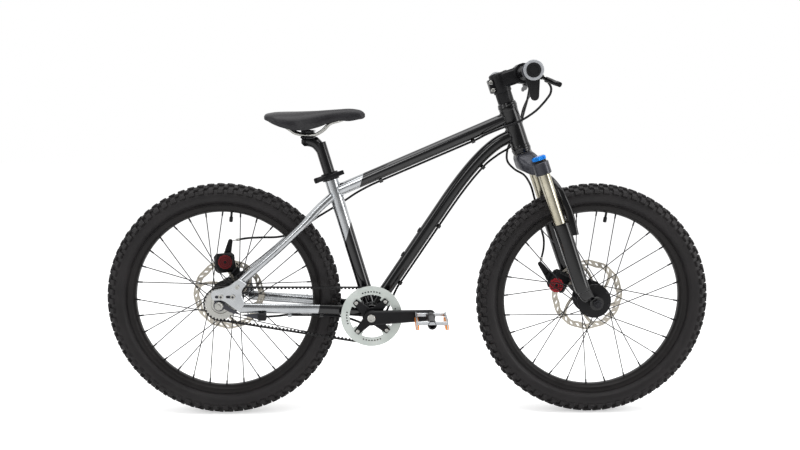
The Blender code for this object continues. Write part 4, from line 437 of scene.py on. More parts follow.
def surface(rings, closed=False):
    """Joins rings of points, an array (rings, points, 3), by quads; the ends are drawn to their middles."""
    rings = np.asarray(rings, float)
    if not closed:
        ends = [np.broadcast_to(ring.mean(0), ring.shape)[None] for ring in (rings[0], rings[-1])]
        rings = np.concatenate([ends[0], rings, ends[1]])
    rows, count = rings.shape[:2]
    i, j = np.meshgrid(np.arange(rows if closed else rows - 1), np.arange(count), indexing="ij")
    ahead, beside = (i + 1) % rows, (j + 1) % count
    quads = np.stack([i * count + j, i * count + beside, ahead * count + beside, ahead * count + j], -1)
    return rings.reshape(-1, 3), quads.reshape(-1, 4), []


def turned(profile, place=np.eye(4), sides=48, closed=False):
    """Turns (radius, height) points about the frame's Z: x = r cos a, y = r sin a, z = height."""
    radius, height = np.array(profile, float).T
    angle = np.linspace(0, 2 * pi, sides, endpoint=False)
    rings = np.stack([np.outer(radius, np.cos(angle)), np.outer(radius, np.sin(angle)),
                      np.repeat(height[:, None], sides, 1)], -1)
    return surface(put(place, rings), closed)


def eased(profile, size, closed=False):
    """Cuts each corner of a profile: two points on its sides, at most size from the corner."""
    points = np.array(profile, float)
    before, after = np.roll(points, 1, 0) - points, np.roll(points, -1, 0) - points
    cuts = [points + way / np.maximum(np.linalg.norm(way, axis=1, keepdims=True), 1e-9)
            * np.minimum(size, np.linalg.norm(way, axis=1, keepdims=True) / 2.5) for way in (before, after)]
    made = np.stack(cuts, 1).reshape(-1, 2)
    return made if closed else np.concatenate([points[:1], made[2:-2], points[-1:]])


def collar(profile, ease, place, sides=64):
    """A ring: a closed profile with its corners eased, turned about the frame's Z."""
    return turned(eased(profile, ease, True), place, sides, closed=True)


def smooth(points, steps=8):
    """A cubic through the points, whose direction at each leans to that of the shorter side."""
    points = np.asarray(points, float)
    chord = np.diff(points, axis=0)
    length = np.linalg.norm(chord, axis=1, keepdims=True)
    way = chord / length
    middle = (length[1:] * way[:-1] + length[:-1] * way[1:]) / (length[:-1] + length[1:])
    tangent = np.concatenate([way[:1], middle, way[-1:]])
    t = (np.arange(steps) / steps)[None, :, None]
    curve = (points[:-1, None] + chord[:, None] * (3 * t ** 2 - 2 * t ** 3)
             + length[:, None] * (tangent[:-1, None] * (t - 2 * t ** 2 + t ** 3)
                                  + tangent[1:, None] * (t ** 3 - t ** 2)))
    return np.concatenate([curve.reshape(-1, points.shape[1]), points[-1:]])


def between(rows, steps=8):
    """Rows of numbers with even cubic steps between them; the slope at a row is that of its neighbours."""
    rows = np.asarray(rows, float)
    slope = np.gradient(rows, axis=0)
    t = (np.arange(steps) / steps)[None, :, None]
    made = (rows[:-1, None] * (1 - 3 * t ** 2 + 2 * t ** 3) + rows[1:, None] * (3 * t ** 2 - 2 * t ** 3)
            + slope[:-1, None] * (t - 2 * t ** 2 + t ** 3) + slope[1:, None] * (t ** 3 - t ** 2))
    return np.concatenate([made.reshape(-1, rows.shape[1]), rows[-1:]])


def rounded(sides, power=2.0):
    """Points of a superellipse of half size 1: |x|^p + |y|^p = 1. A power over 2 squares it."""
    angle = (np.arange(sides) + 0.5) * 2 * pi / sides
    x, y = np.cos(angle), np.sin(angle)
    return np.stack([x, y], 1) * ((abs(x) ** power + abs(y) ** power) ** (-1 / power))[:, None]


def swept(path, half_x, half_y=None, sides=24, power=2.0, side=LEFT, place=np.eye(4)):
    """Carries a rounded section along a path; its Y axis keeps near to side."""
    path = np.asarray(path, float)
    z = unit(np.gradient(path, axis=0))
    x = unit(np.cross(np.broadcast_to(side, z.shape), z))
    y = np.cross(z, x)
    section = rounded(sides, power)
    wide = np.broadcast_to(half_x, len(path))[:, None, None]
    high = wide if half_y is None else np.broadcast_to(half_y, len(path))[:, None, None]
    rings = (path[:, None] + wide * section[None, :, :1] * x[:, None]
             + high * section[None, :, 1:] * y[:, None])
    return surface(put(place, rings))


# %% Outlines with thickness


def arc(centre, radius, start, end, steps):
    """Points of an arc, its angles in degrees."""
    angle = np.radians(np.linspace(start, end, steps + 1))
    return np.stack([centre[0] + radius * np.cos(angle), centre[1] + radius * np.sin(angle)], 1)


def link(start, end, start_radius, end_radius, steps=16):
    """The outline of a bar with two round ends."""
    angle = np.degrees(atan2(end[1] - start[1], end[0] - start[0]))
    return np.concatenate([arc(start, start_radius, angle + 90, angle + 270, steps),
                           arc(end, end_radius, angle - 90, angle + 90, steps)])


def prism(outline, low, high, bevel=0.0005, place=np.eye(4)):
    """Extrudes (x, z) points along Y, with the edges of both faces drawn in by a bevel."""
    flat = np.array(outline, float)
    x, z = flat.T
    if np.sum(x * np.roll(z, -1) - np.roll(x, -1) * z) < 0:
        flat = flat[::-1]
    way = unit(np.roll(flat, -1, 0) - flat)
    inward = np.stack([-way[:, 1], way[:, 0]], 1)
    both = np.roll(inward, 1, 0) + inward
    share = np.maximum(1 + np.sum(np.roll(inward, 1, 0) * inward, 1, keepdims=True), 0.4)
    inset = flat + bevel * both / share
    rings = np.stack([np.stack([ring[:, 0], np.full(len(ring), y), ring[:, 1]], 1) for ring, y in (
        (inset, low), (flat, low + bevel), (flat, high - bevel), (inset, high))])
    points, quads, _ = surface(rings, closed=True)
    count = len(flat)
    return put(place, points), quads[:3 * count], [list(range(count)), list(range(3 * count, 4 * count))]


def block(size, centre, bevel=0.001, place=np.eye(4)):
    """A box with its edges eased."""
    x, y, z = (s / 2 for s in size)
    corners = eased([(-x, -z), (x, -z), (x, z), (-x, z)], bevel, closed=True)
    return prism(corners + np.array([centre[0], centre[2]]), centre[1] - y, centre[1] + y, bevel, place)


def pierced(radii, angles, keep, low, high, centre, slant=0.0):
    """A flat ring of cells between radii and angles, without the cells that keep leaves out.

    x = r cos a and z = r sin a about the centre; the angle drifts by slant per metre of radius.
    """
    radius, angle = np.meshgrid(radii, angles, indexing="ij")
    angle = angle + slant * (radius - np.mean(radii))
    rows, count = keep.shape
    x, z = centre[0] + radius * np.cos(angle), centre[2] + radius * np.sin(angle)
    levels = [np.stack([x, np.full_like(x, y), z], -1).reshape(-1, 3) for y in (low, high)]
    i, j = np.nonzero(keep)
    after = (j + 1) % count
    a, b, c, d = i * count + j, i * count + after, (i + 1) * count + after, (i + 1) * count + j
    top = (rows + 1) * count
    wall_free = [(a, b, np.where(i > 0, keep[np.maximum(i - 1, 0), j], False)),
                 (d, c, np.where(i < rows - 1, keep[np.minimum(i + 1, rows - 1), j], False)),
                 (a, d, keep[i, (j - 1) % count]), (b, c, keep[i, after])]
    quads = [np.stack([a, b, c, d], 1), np.stack([a, b, c, d], 1) + top]
    quads += [np.stack([p, q, q + top, p + top], 1)[~inside] for p, q, inside in wall_free]
    used, index = np.unique(np.concatenate(quads), return_inverse=True)
    return np.concatenate(levels)[used], index.reshape(-1, 4), []


def scatter(part, origins, axes):
    """Copies of a part: its x, y and z run along the three rows of axes at each origin."""
    points, quads, _ = part
    placed = origins[:, None] + np.einsum("vk,nkc->nvc", points, axes)
    shift = (np.arange(len(origins)) * len(points))[:, None, None]
    return placed.reshape(-1, 3), (quads[None] + shift).reshape(-1, 4), []


# %% [markdown]
# A piece is one or more such shapes in one mesh. Points that coincide are merged, which closes the
# poles, and the faces are then turned outwards. Edges sharper than the given angle stay crisp, and
# the rest are shaded smooth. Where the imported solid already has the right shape, a merged copy of
# it is used, with its edges eased.

# %% Making pieces
MERGE, SHARP = 1e-6, 32.0


def dress(obj, finish, body, replaces):
    """Gives a piece its finish, the body that it rides on and the nodes that it stands for."""
    obj.data.materials.append(finish)
    bpy.context.scene.collection.objects.link(obj)
    if body:
        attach(obj, body)
    if replaces:
        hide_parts(*([replaces] if isinstance(replaces, str) else replaces))
    return obj


def piece(name, parts, finish, body, replaces=(), sharp=SHARP):
    """One mesh from several parts, closed, facing outwards and shaded smooth between its sharp edges."""
    points, faces, start = [], [], 0
    for part_points, quads, caps in parts:
        points.append(part_points)
        faces += (quads + start).tolist() + [[i + start for i in cap] for cap in caps]
        start += len(part_points)
    mesh = bpy.data.meshes.new(name)
    mesh.from_pydata(np.concatenate(points).tolist(), [], faces)
    bm = bmesh.new()
    bm.from_mesh(mesh)
    bmesh.ops.remove_doubles(bm, verts=bm.verts, dist=MERGE)
    bmesh.ops.recalc_face_normals(bm, faces=bm.faces)
    bm.to_mesh(mesh)
    bm.free()
    mesh.shade_smooth()
    mesh.set_sharp_from_angle(angle=radians(sharp))
    return dress(bpy.data.objects.new(name, mesh), finish, body, replaces)


def eased_copy(node, finish, bevel=0.0, sharp=34.0):
    """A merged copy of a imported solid, shaded smooth, with its sharp edges rounded by a small bevel."""
    source = frame["nodes"][node]
    bm = bmesh.new()
    bm.from_mesh(source.data)
    bmesh.ops.remove_doubles(bm, verts=bm.verts, dist=2 * MERGE)
    mesh = bpy.data.meshes.new(node + "_surface")
    bm.to_mesh(mesh)
    bm.free()
    mesh.shade_smooth()
    mesh.set_sharp_from_angle(angle=radians(sharp))
    made = dress(bpy.data.objects.new(node + "_surface", mesh), finish, source["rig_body"], node)
    if bevel:
        rounding = made.modifiers.new("eased edges", "BEVEL")
        rounding.width, rounding.segments, rounding.angle_limit = bevel, 2, radians(sharp)
        rounding.limit_method, rounding.use_clamp_overlap, rounding.harden_normals = "ANGLE", True, True
    return made


def bolt(place, radius=0.0045, height=0.003):
    """A socket head bolt: a short cylinder with an eased rim and a recess."""
    profile = [(radius, -0.0005), (radius, 0.8 * height), (0.85 * radius, height), (0.52 * radius, height),
               (0.48 * radius, 0.45 * height)]
    return turned(profile, place, 20)


# %% [markdown]
# ## Wheels
# The tyre's casing is a round tube with its inner side open to the rim. The knobs are rubber blocks
# on it in six rows: two down the middle, one beside each, and a row of large ones on each shoulder.
# Each block has few faces, because there are hundreds, and they are all placed at once.

# %% Tyres
CASING_MIDDLE, CASING_HALF_WIDTH, CASING_HALF_HEIGHT, CASING_WALL = 0.2290, 0.0262, 0.0218, 0.0030
BEAD_ANGLE, BEAD_RADIUS, BEAD_HALF = 148.0, 0.2034, 0.0137
KNOBS_PER_ROW, KNOB_EASE = 72, 0.0011
KNOB_ROWS = [
    # angle on the casing, length, width, height, stagger along the row
    (11.5, 0.0112, 0.0080, 0.0041, 0.0),
    (37.0, 0.0092, 0.0072, 0.0046, 0.5),
    (62.0, 0.0118, 0.0098, 0.0047, 0.0),
]


def casing_point(angle):
    """A point of the casing's section, (radius, y), at an angle from the tread's middle."""
    return (CASING_MIDDLE + CASING_HALF_HEIGHT * np.cos(angle), CASING_HALF_WIDTH * np.sin(angle))


def tyre(side, centre):
    """An elliptic section, open to the rim, turned about the axle, and a block at each even step of a row."""
    angle = np.radians(np.linspace(-BEAD_ANGLE, BEAD_ANGLE, 61))
    rib = 0.0005 * np.exp(-((abs(np.degrees(angle)) - 119) / 3.5) ** 2)
    radius, y = casing_point(angle)
    outer = np.stack([radius + rib * np.cos(angle), y + rib * np.sin(angle)], 1)
    inner = np.stack([radius - CASING_WALL * np.cos(angle), y - CASING_WALL * np.sin(angle)], 1)[::-1]
    bead = np.array([(BEAD_RADIUS, BEAD_HALF), (BEAD_RADIUS, BEAD_HALF - CASING_WALL)])
    profile = np.concatenate([outer, bead, inner, bead[::-1] * (1, -1)])
    parts = [turned(profile, about(centre), 144, closed=True)]
    for row_angle, length, width, height, stagger in KNOB_ROWS:
        levels = ((-0.0010, -0.0006), (height - KNOB_EASE, 0.0), (height, KNOB_EASE))
        template = surface(np.stack([[(x * (length / 2 - cut), w * (width / 2 - cut), z)
                                      for x, w in ((-1, -1), (1, -1), (1, 1), (-1, 1))]
                                     for z, cut in levels]))
        for way in (-1, 1):
            slope = radians(row_angle) * way
            base_radius, base_y = casing_point(slope)
            a = 2 * pi * (np.arange(KNOBS_PER_ROW) + stagger + 0.25 * (way > 0)) / KNOBS_PER_ROW - pi / 2
            out = np.stack([np.cos(a), np.zeros_like(a), np.sin(a)], 1)
            around = np.stack([-np.sin(a), np.zeros_like(a), np.cos(a)], 1)
            normal = out * cos(slope) + LEFT * sin(slope)
            origins = centre + out * base_radius + LEFT * base_y
            parts.append(scatter(template, origins, np.stack([around, np.cross(normal, around), normal], 1)))
    return piece(side + "_tyre_casing", parts, TYRE_RUBBER, side + "_wheel", side + "_tyre")


# %% [markdown]
# The rim is an extrusion bent to a hoop: a shallow V towards the spokes and two hooks that hold the
# tyre. Its profile is turned about the axle. The valve stands in a hole in it, with a small plastic
# cap.

# %% Rims
RIM_PROFILE = [(0.1930, 0.0058), (0.1990, 0.0150), (0.2090, 0.0155), (0.2090, 0.0141), (0.2032, 0.0140),
               (0.1970, 0.0065)]
VALVE_TIP = 0.171


def rim(side, centre, valve_angle):
    """Half a profile and its mirror image, turned about the axle, and the valve's stem along its angle."""
    half = np.array(RIM_PROFILE)
    hoop = collar(np.concatenate([half, half[::-1] * (1, -1)]), 0.0008, about(centre), 144)
    piece(side + "_rim_hoop", [hoop], RIM_BLACK, side + "_wheel", side + "_rim")
    angle = radians(valve_angle)
    outward = np.array([cos(angle), 0.0, sin(angle)])
    stem = turned(eased([(0.0026, 0.1950), (0.0026, 0.1830), (0.0040, 0.1820), (0.0040, VALVE_TIP + 0.0015),
                         (0.0024, VALVE_TIP)], 0.0004), frame_at(centre, outward), 20)
    piece(side + "_valve", [stem], BLACK_PLASTIC, side + "_wheel")


# %% [markdown]
# Spokes leave the hub flanges at a slant, cross two others and reach the rim near its middle. A
# wheel has them in four sets: two flanges, and on each half lean forward and half back. A spoke is
# a cylinder from one point to another, so one template and two arrays of points make them all, and
# a second template makes the nipples.

# %% Hubs, spokes and rotors
SPOKE_RADIUS, SPOKE_HEAD, NIPPLE_RADIUS, NIPPLE_LENGTH = 0.00105, 0.0022, 0.0018, 0.010
SPOKE_HOLES, SPOKE_END = 0.0325, 0.1930
FLANGE_RADIUS, FLANGE_HALF = 0.037, 0.0015
HUBS = {
    # centre, spokes, phase, first sign, valve, flanges, shell, right end, right radius, rotor y, left end
    "rear": (REAR_AXLE, 32, 90.0, 1, 84.4, (-0.028, 0.030), 0.0290, -0.0398, 0.0240, 0.052, 0.0672),
    "front": (FRONT_AXLE, 28, 11.0, -1, 81.7, (-0.030, 0.025), 0.0150, -0.0497, 0.0090, 0.040, 0.0497),
}


def spokes(side, centre, count, phase, first_sign, flanges):
    """Spoke k ends at phase + 360 k / n degrees, and starts on its flange four steps before or after."""
    k = np.arange(count)
    sign = np.where(k % 4 < 2, first_sign, -first_sign)
    flange_y = np.array(flanges)[k % 2]
    outward = np.sign(flange_y)
    angle = np.radians(phase + 360.0 * k / count)
    root = angle + sign * np.radians(4 * 360.0 / count)
    start = np.stack([SPOKE_HOLES * np.cos(root), flange_y + outward * sign * FLANGE_HALF,
                      SPOKE_HOLES * np.sin(root)], 1)
    end = np.stack([SPOKE_END * np.cos(angle), outward * 0.002, SPOKE_END * np.sin(angle)], 1)
    way = unit(end - start)
    x = unit(np.cross(way, LEFT))
    y = np.cross(way, x)
    unit_rod = turned([(1, 0), (1, 1)], sides=8)
    length = np.linalg.norm(end - start, axis=1)[:, None]
    wires = scatter(unit_rod, centre + start, np.stack([x * SPOKE_RADIUS, y * SPOKE_RADIUS, way * length], 1))
    heads = scatter(turned([(1, -0.5), (1, 0.5)], sides=8), centre + start,
                    np.stack([x, way, np.broadcast_to(LEFT, x.shape)], 1) * SPOKE_HEAD)
    nipples = scatter(turned([(0.8, 0), (1, 0.15), (1, 1)], sides=8), centre + end - way * NIPPLE_LENGTH,
                      np.stack([x * NIPPLE_RADIUS, y * NIPPLE_RADIUS, way * NIPPLE_LENGTH], 1))
    piece(side + "_spokes", [wires, heads, nipples], DARK_STEEL, side + "_wheel")


def hub(side, centre, flanges, shell, right_end, right_radius, rotor_y, left_end):
    """A profile over both ends, both flanges and the disc's seat, turned about the axle."""
    right, left = flanges
    seat, ring, hole = rotor_y - 0.0012, rotor_y + 0.0012, 0.0056
    profile = [(hole, right_end), (right_radius, right_end), (right_radius, right - 0.0035),
               (FLANGE_RADIUS, right - FLANGE_HALF), (FLANGE_RADIUS, right + FLANGE_HALF),
               (shell + 0.003, right + 0.0035), (shell, right + 0.009), (shell, left - 0.009),
               (shell + 0.003, left - 0.0035), (FLANGE_RADIUS, left - FLANGE_HALF),
               (FLANGE_RADIUS, left + FLANGE_HALF), (0.0220, left + 0.0025), (0.0220, seat), (0.0142, seat),
               (0.0142, ring), (0.0175, ring), (0.0175, ring + 0.0025), (0.0090, ring + 0.0025),
               (0.0090, left_end), (hole, left_end)]
    piece(side + "_hub_shell", [collar(profile, 0.0007, about(centre))], SATIN_BLACK, side + "_wheel",
          side + "_hub")


ROTOR_SLOTS, CELLS_PER_SLOT, ROTOR_HALF = 30, 6, 0.0009


def rotor(side, centre, y):
    """A braking ring with slanting slots, on six curved arms, round a carrier.

    Both its edges are waves: their radii change with the cosine of twelve times the angle.
    """
    count = ROTOR_SLOTS * CELLS_PER_SLOT
    angles = np.linspace(0, 2 * pi, count, endpoint=False)
    radii = np.array([0.0655, 0.0685, 0.0705, 0.0755, 0.0770, 0.0798])
    keep = np.ones((len(radii) - 1, count), bool)
    keep[2, np.arange(count) % CELLS_PER_SLOT < 2] = False
    low, high = y - ROTOR_HALF, y + ROTOR_HALF
    points, quads, caps = pierced(radii, angles, keep, low, high, (0, 0, 0), slant=14.0)
    radius = np.hypot(points[:, 0], points[:, 2])
    share = np.clip((radius - radii[0]) / (radii[-1] - radii[0]), 0, 1)
    at_angle = np.arctan2(points[:, 2], points[:, 0])
    ripple = 0.0014 * np.cos(12 * at_angle) * (1 - share) - 0.0008 * (1 - np.cos(12 * at_angle)) * share
    points[:, [0, 2]] *= (1 + ripple / radius)[:, None]
    parts = [(points + centre, quads, caps)]
    for k in range(6):
        t = np.linspace(0, 1, 14)
        reach, angle = 0.0235 + t * 0.0445, radians(60 * k) + 0.75 * t ** 0.8
        path = np.stack([reach * np.cos(angle), np.full_like(t, y), reach * np.sin(angle)], 1)
        parts.append(swept(path + centre, 0.0030 + 0.0014 * abs(2 * t - 1) ** 2, ROTOR_HALF, 8, 8.0))
    carrier = [(0.0145, low), (0.0255, low), (0.0255, high), (0.0145, high)]
    parts.append(turned(carrier, about(centre), 48, closed=True))
    finish = ground_steel("ground " + side + " brake disc", tuple(centre))
    piece(side + "_rotor_disc", parts, finish, side + "_wheel", side + "_rotor")


for side, (centre, count, phase, sign, valve, flanges, shell, right_end, right_radius, rotor_y,
           left_end) in HUBS.items():
    tyre(side, centre)
    rim(side, centre, valve)
    hub(side, centre, flanges, shell, right_end, right_radius, rotor_y, left_end)
    spokes(side, centre, count, phase, sign, flanges)
    rotor(side, centre, rotor_y)

# %% [markdown]
# The axles are threaded steel with a hexagonal nut and a washer at each end. A nut is a turned
# shape with six sides, and its corners are taken off by a short cone.

# %% Axles and nuts
AXLE_RADIUS, AXLE_STUB = 0.0049, 0.0105


def axle(side, centre, body, right_nut, left_nut, finish):
    """A turned rod, with a washer and a nut of six sides at each end."""
    ends = [(AXLE_RADIUS, -right_nut - AXLE_STUB), (AXLE_RADIUS, left_nut + AXLE_STUB)]
    parts = [turned(ends, about(centre), 32)]
    for way, face in ((-1, right_nut), (1, left_nut)):
        away = frame_at(centre + LEFT * way * face, LEFT * way, (1.0, 0.0, 0.0))
        parts.append(turned([(0.0092, 0), (0.0092, 0.0012), (0.0085, 0.0014)], away, 32))
        nut = [(0.0086, 0.0014), (0.0094, 0.0022), (0.0094, 0.0062), (0.0084, 0.0070)]
        parts.append(turned(nut, away, 6))
    piece(side + "_axle_nuts", parts, finish, body, side + "_axle", sharp=20)


axle("front", FRONT_AXLE, "lowers", 0.0586, 0.0586, DARK_STEEL)
axle("rear", REAR_AXLE, "frame", 0.0733, 0.0705, BRIGHT_STEEL)

# %% [markdown]
# ## Belt drive
# A toothed belt runs on two pulleys. Its middle line is two straight runs and two arcs, and the
# teeth stand on its inner side every eight millimetres. The section's inner edge moves in and out
# along the line, so one grid makes the band and all its teeth.

# %% Belt
BELT_PITCH, BELT_HALF, BELT_Y = 0.008, 0.005, -0.049
BELT_BACK, BELT_INNER, TOOTH = 0.0015, 0.0004, 0.0028
FRONT_TEETH, REAR_TEETH = 48, 28
FRONT_PITCH, REAR_PITCH = (count * BELT_PITCH / (2 * pi) for count in (FRONT_TEETH, REAR_TEETH))


def tooth_wave(angle):
    """1/2 + 0.95 cos(angle), held between 0 and 1: flat tops and flat valleys with steep sides."""
    return np.clip(0.5 + 0.95 * np.cos(angle), 0, 1)


line = BB - REAR_AXLE
base = atan2(line[2], line[0])
lean = acos((REAR_PITCH - FRONT_PITCH) / np.linalg.norm(line))
front_arc = arc((BB[0], BB[2]), FRONT_PITCH, np.degrees(base + lean), np.degrees(base - lean), 80)
rear_arc = arc((REAR_AXLE[0], REAR_AXLE[2]), REAR_PITCH, np.degrees(base - lean + 2 * pi),
               np.degrees(base + lean), 60)
loop = np.concatenate([front_arc, rear_arc, front_arc[:1]])
travelled = np.concatenate([[0], np.cumsum(np.linalg.norm(np.diff(loop, axis=0), axis=1))])
teeth = round(travelled[-1] / BELT_PITCH)
s = np.linspace(0, travelled[-1], teeth * 10, endpoint=False)
middle = np.stack([np.interp(s, travelled, loop[:, k]) for k in (0, 1)], 1)
way = unit(np.roll(middle, -1, 0) - np.roll(middle, 1, 0))
out = np.stack([-way[:, 1], way[:, 0]], 1)
out *= np.sign(np.sum((middle - middle.mean(0)) * out))
height = TOOTH * tooth_wave(2 * pi * teeth * s / travelled[-1])
depths = np.stack([np.full_like(s, BELT_BACK), np.full_like(s, BELT_BACK), -BELT_INNER - height,
                   -BELT_INNER - height], 1)
flat = middle[:, None] + depths[..., None] * out[:, None]
across = np.broadcast_to(BELT_Y + BELT_HALF * np.array([-1, 1, 1, -1]), depths.shape)
band = surface(np.stack([flat[..., 0], across, flat[..., 1]], -1), closed=True)
piece("toothed_belt", [band], BELT_RUBBER, "frame", "belt", sharp=40)
print("belt:", teeth, "teeth,", round(travelled[-1] * 1000), "mm round")

# %% [markdown]
# The pulleys have a rounded tooth for each belt tooth. The front one is bolted behind a wide pale
# guard ring with groups of small slots, and four tabs reach in to the bolts.

# %% Pulleys
PULLEY_FACE, PULLEY_BACK = -0.0543, -0.0437
PULLEY_TIP, PULLEY_VALLEY = 0.0007, 0.0034
CRANK_TURN = 2.5


def toothed_ring(centre, inner, pitch_radius, teeth_count):
    """A ring whose outer radius falls into a valley for each tooth: r = tip - depth * tooth wave."""
    a = np.linspace(0, 2 * pi, teeth_count * 10, endpoint=False)
    radius = pitch_radius - PULLEY_TIP - PULLEY_VALLEY * tooth_wave(teeth_count * a)
    corners = ((inner, PULLEY_FACE), (radius, PULLEY_FACE), (radius, PULLEY_BACK), (inner, PULLEY_BACK))
    rings = [np.stack([centre[0] + r * np.cos(a), np.full_like(a, y), centre[2] + r * np.sin(a)], -1)
             for r, y in corners]
    return surface(rings, closed=True)


driver = [(0.0056, -0.0405), (0.0210, -0.0405), (0.0210, -0.0553), (0.0180, -0.0583), (0.0120, -0.0618),
          (0.0090, -0.0672), (0.0056, -0.0672)]
rear_ring = toothed_ring(REAR_AXLE, 0.0200, REAR_PITCH, REAR_TEETH)
piece("rear_sprocket_teeth", [rear_ring, collar(driver, 0.0008, about(REAR_AXLE), 48)], BRIGHT_STEEL,
      "driver", "rear_sprocket")

GUARD_RADII = np.array([0.0392, 0.0470, 0.0517, 0.0549, 0.0600, 0.0648, 0.0655])
GUARD_CELLS = 108
cell_angle = 360.0 / GUARD_CELLS
degree = (np.arange(GUARD_CELLS) + 0.5) * cell_angle
keep = np.ones((len(GUARD_RADII) - 1, GUARD_CELLS), bool)
keep[0] = abs(degree % 90 - 45) < 15
every_other = np.arange(GUARD_CELLS) % 2 == 0
for slot_middle, slot_half in ((90, 24), (180, 17), (270, 24), (0, 17)):
    away = abs((degree - slot_middle + 180) % 360 - 180)
    keep[2] &= ~(every_other & (away < slot_half))
guard_angles = np.radians(np.arange(GUARD_CELLS) * cell_angle + CRANK_TURN)
guard = pierced(GUARD_RADII, guard_angles, keep, PULLEY_FACE - 0.0025, PULLEY_FACE, BB)
piece("front_pulley_guard", [guard], PULLEY_GREY, "crank", "front_pulley")
piece("front_pulley_teeth", [toothed_ring(BB, 0.0512, FRONT_PITCH, FRONT_TEETH)], SATIN_BLACK, "crank")

# %% [markdown]
# ## Cranks and pedals
# A crank is forged, so it has rounded edges everywhere: an outline with thickness and a wide bevel
# does it. The right one carries the spider, a four-armed star that the pulley is bolted to.

# %% Cranks
CRANK = moved(*BB) @ np.array([[cos(radians(CRANK_TURN)), 0, -sin(radians(CRANK_TURN)), 0], [0, 1, 0, 0],
                               [sin(radians(CRANK_TURN)), 0, cos(radians(CRANK_TURN)), 0], [0, 0, 0, 1]])
CRANK_LENGTH, CRANK_FACE = 0.125, 0.077
SPIDER_FACE, SPIDER_THICKNESS, BOLT_CIRCLE = -0.0571, 0.0035, 0.044


def crank_arm(side):
    """A bar with two round ends, a boss and the pedal's stub. The right one carries the spider's star."""
    sign = -1 if side == "right" else 1
    end = -sign * CRANK_LENGTH
    low, high = sorted((sign * 0.066, sign * CRANK_FACE))
    boss = sorted((sign * 0.0571, sign * 0.0760))
    stub = sorted((sign * 0.067, sign * 0.153))
    parts = [prism(link((0, 0), (end, 0), 0.0155, 0.0115, 20), low, high, 0.0026, CRANK),
             turned(eased([(0.0150, boss[0]), (0.0150, boss[1])], 0.001), CRANK @ ACROSS, 48),
             turned([(0.0045, stub[0]), (0.0045, stub[1])], CRANK @ moved(end) @ ACROSS, 24)]
    if side == "right":
        star = np.concatenate([np.concatenate([
            arc((0, 0), 0.0490, 45 + 90 * k - 7, 45 + 90 * k + 7, 6),
            arc((0, 0), 0.0195, 45 + 90 * k + 33, 45 + 90 * k + 57, 4)]) for k in range(4)])
        parts.append(prism(star, SPIDER_FACE - SPIDER_THICKNESS, SPIDER_FACE, 0.0008, CRANK))
    piece("crank_forging_" + side, parts, SATIN_BLACK, "crank", "crank_arm_" + side)


for side in ("right", "left"):
    crank_arm(side)
ring_bolts = []
for k in range(4):
    angle = radians(45 + 90 * k)
    head = moved(BOLT_CIRCLE * cos(angle), SPIDER_FACE - SPIDER_THICKNESS,
                 BOLT_CIRCLE * sin(angle)) @ OUTWARD[-1]
    ring_bolts.append(bolt(CRANK @ head, 0.0040, 0.0020))
piece("pulley_bolts", ring_bolts, BRIGHT_STEEL, "crank")
spindle = [turned([(0.0068, -CRANK_FACE), (0.0068, CRANK_FACE)], CRANK @ ACROSS, 32)]
spindle += [turned([(0.0084, 0.0), (0.0084, 0.0014), (0.0072, 0.0022), (0.0044, 0.0022), (0.0042, 0.0008)],
                   CRANK @ moved(0, way * CRANK_FACE, 0) @ OUTWARD[way], 32)
            for way in (-1, 1)]
piece("crank_bolts", spindle, BRIGHT_STEEL, "crank", "crank_spindle")

# %% [markdown]
# The pedals are an aluminium cage round a barrel, with teeth along the front and back for grip and
# an amber reflector on each. The teeth are a zigzag in the outline of the cage plate.

# %% Pedals
CAGE_HALF, CAGE_HEIGHT = 0.0310, 0.0088


def pedal(side):
    """Two plates with zigzag edges and two end blocks round a barrel, with a lens in front and behind."""
    sign = -1 if side == "right" else 1
    body = "pedal_" + side
    centre = np.array(JOINTS[body + "_spin"]["pos_m"]) * (1, 0, 1)
    low, high = sorted((sign * 0.0805, sign * 0.1625))
    teeth_at = np.linspace(low, high, 17)
    zigzag = CAGE_HEIGHT + np.where(np.arange(17) % 2, 0.0016, 0.0)
    outline = np.concatenate([np.stack([teeth_at, zigzag], 1), np.stack([teeth_at[::-1], -zigzag], 1)])
    turn_plate = np.array([[0, 1, 0, 0], [1, 0, 0, 0], [0, 0, 1, 0], [0, 0, 0, 1]], float)
    cage = [prism(outline, way * CAGE_HALF - 0.0014, way * CAGE_HALF + 0.0014, 0.0004,
                  moved(*centre) @ turn_plate) for way in (-1, 1)]
    for y in (low + 0.0015, high - 0.0015):
        cage.append(block((2 * CAGE_HALF, 0.003, 0.0075), (0, y, 0.0036), 0.0008, moved(*centre)))
    piece("pedal_cage_" + side, cage, RAW_SILVER, body, body)
    barrel = [(0.0062, low), (0.0094, low), (0.0094, low + 0.018), (0.0078, low + 0.024),
              (0.0078, high - 0.024), (0.0094, high - 0.018), (0.0094, high), (0.0062, high)]
    piece("pedal_barrel_" + side, [collar(barrel, 0.001, about(centre), 40)], BLACK_PLASTIC, body)
    lens_size, lens_y = (0.0068, high - low - 0.010, 0.0104), (low + high) / 2 + sign * 0.0048
    lenses = [block(lens_size, (way * 0.0303, lens_y, -0.0049), 0.0008, moved(*centre)) for way in (-1, 1)]
    piece("pedal_reflectors_" + side, lenses, AMBER_LENS, body)


for side in ("right", "left"):
    pedal(side)

# %% [markdown]
# ## Frame
# The tubes are round and straight, apart from the down tube, which has one bend under the head
# tube. Where a tube meets another, the welder leaves a row of small overlapping ripples. The line
# of that joint is where the first tube's surface reaches the second's, which is the root of a
# quadratic for each angle round the tube.

# %% Weld beads and tubes
TUBE_SIDES = 64


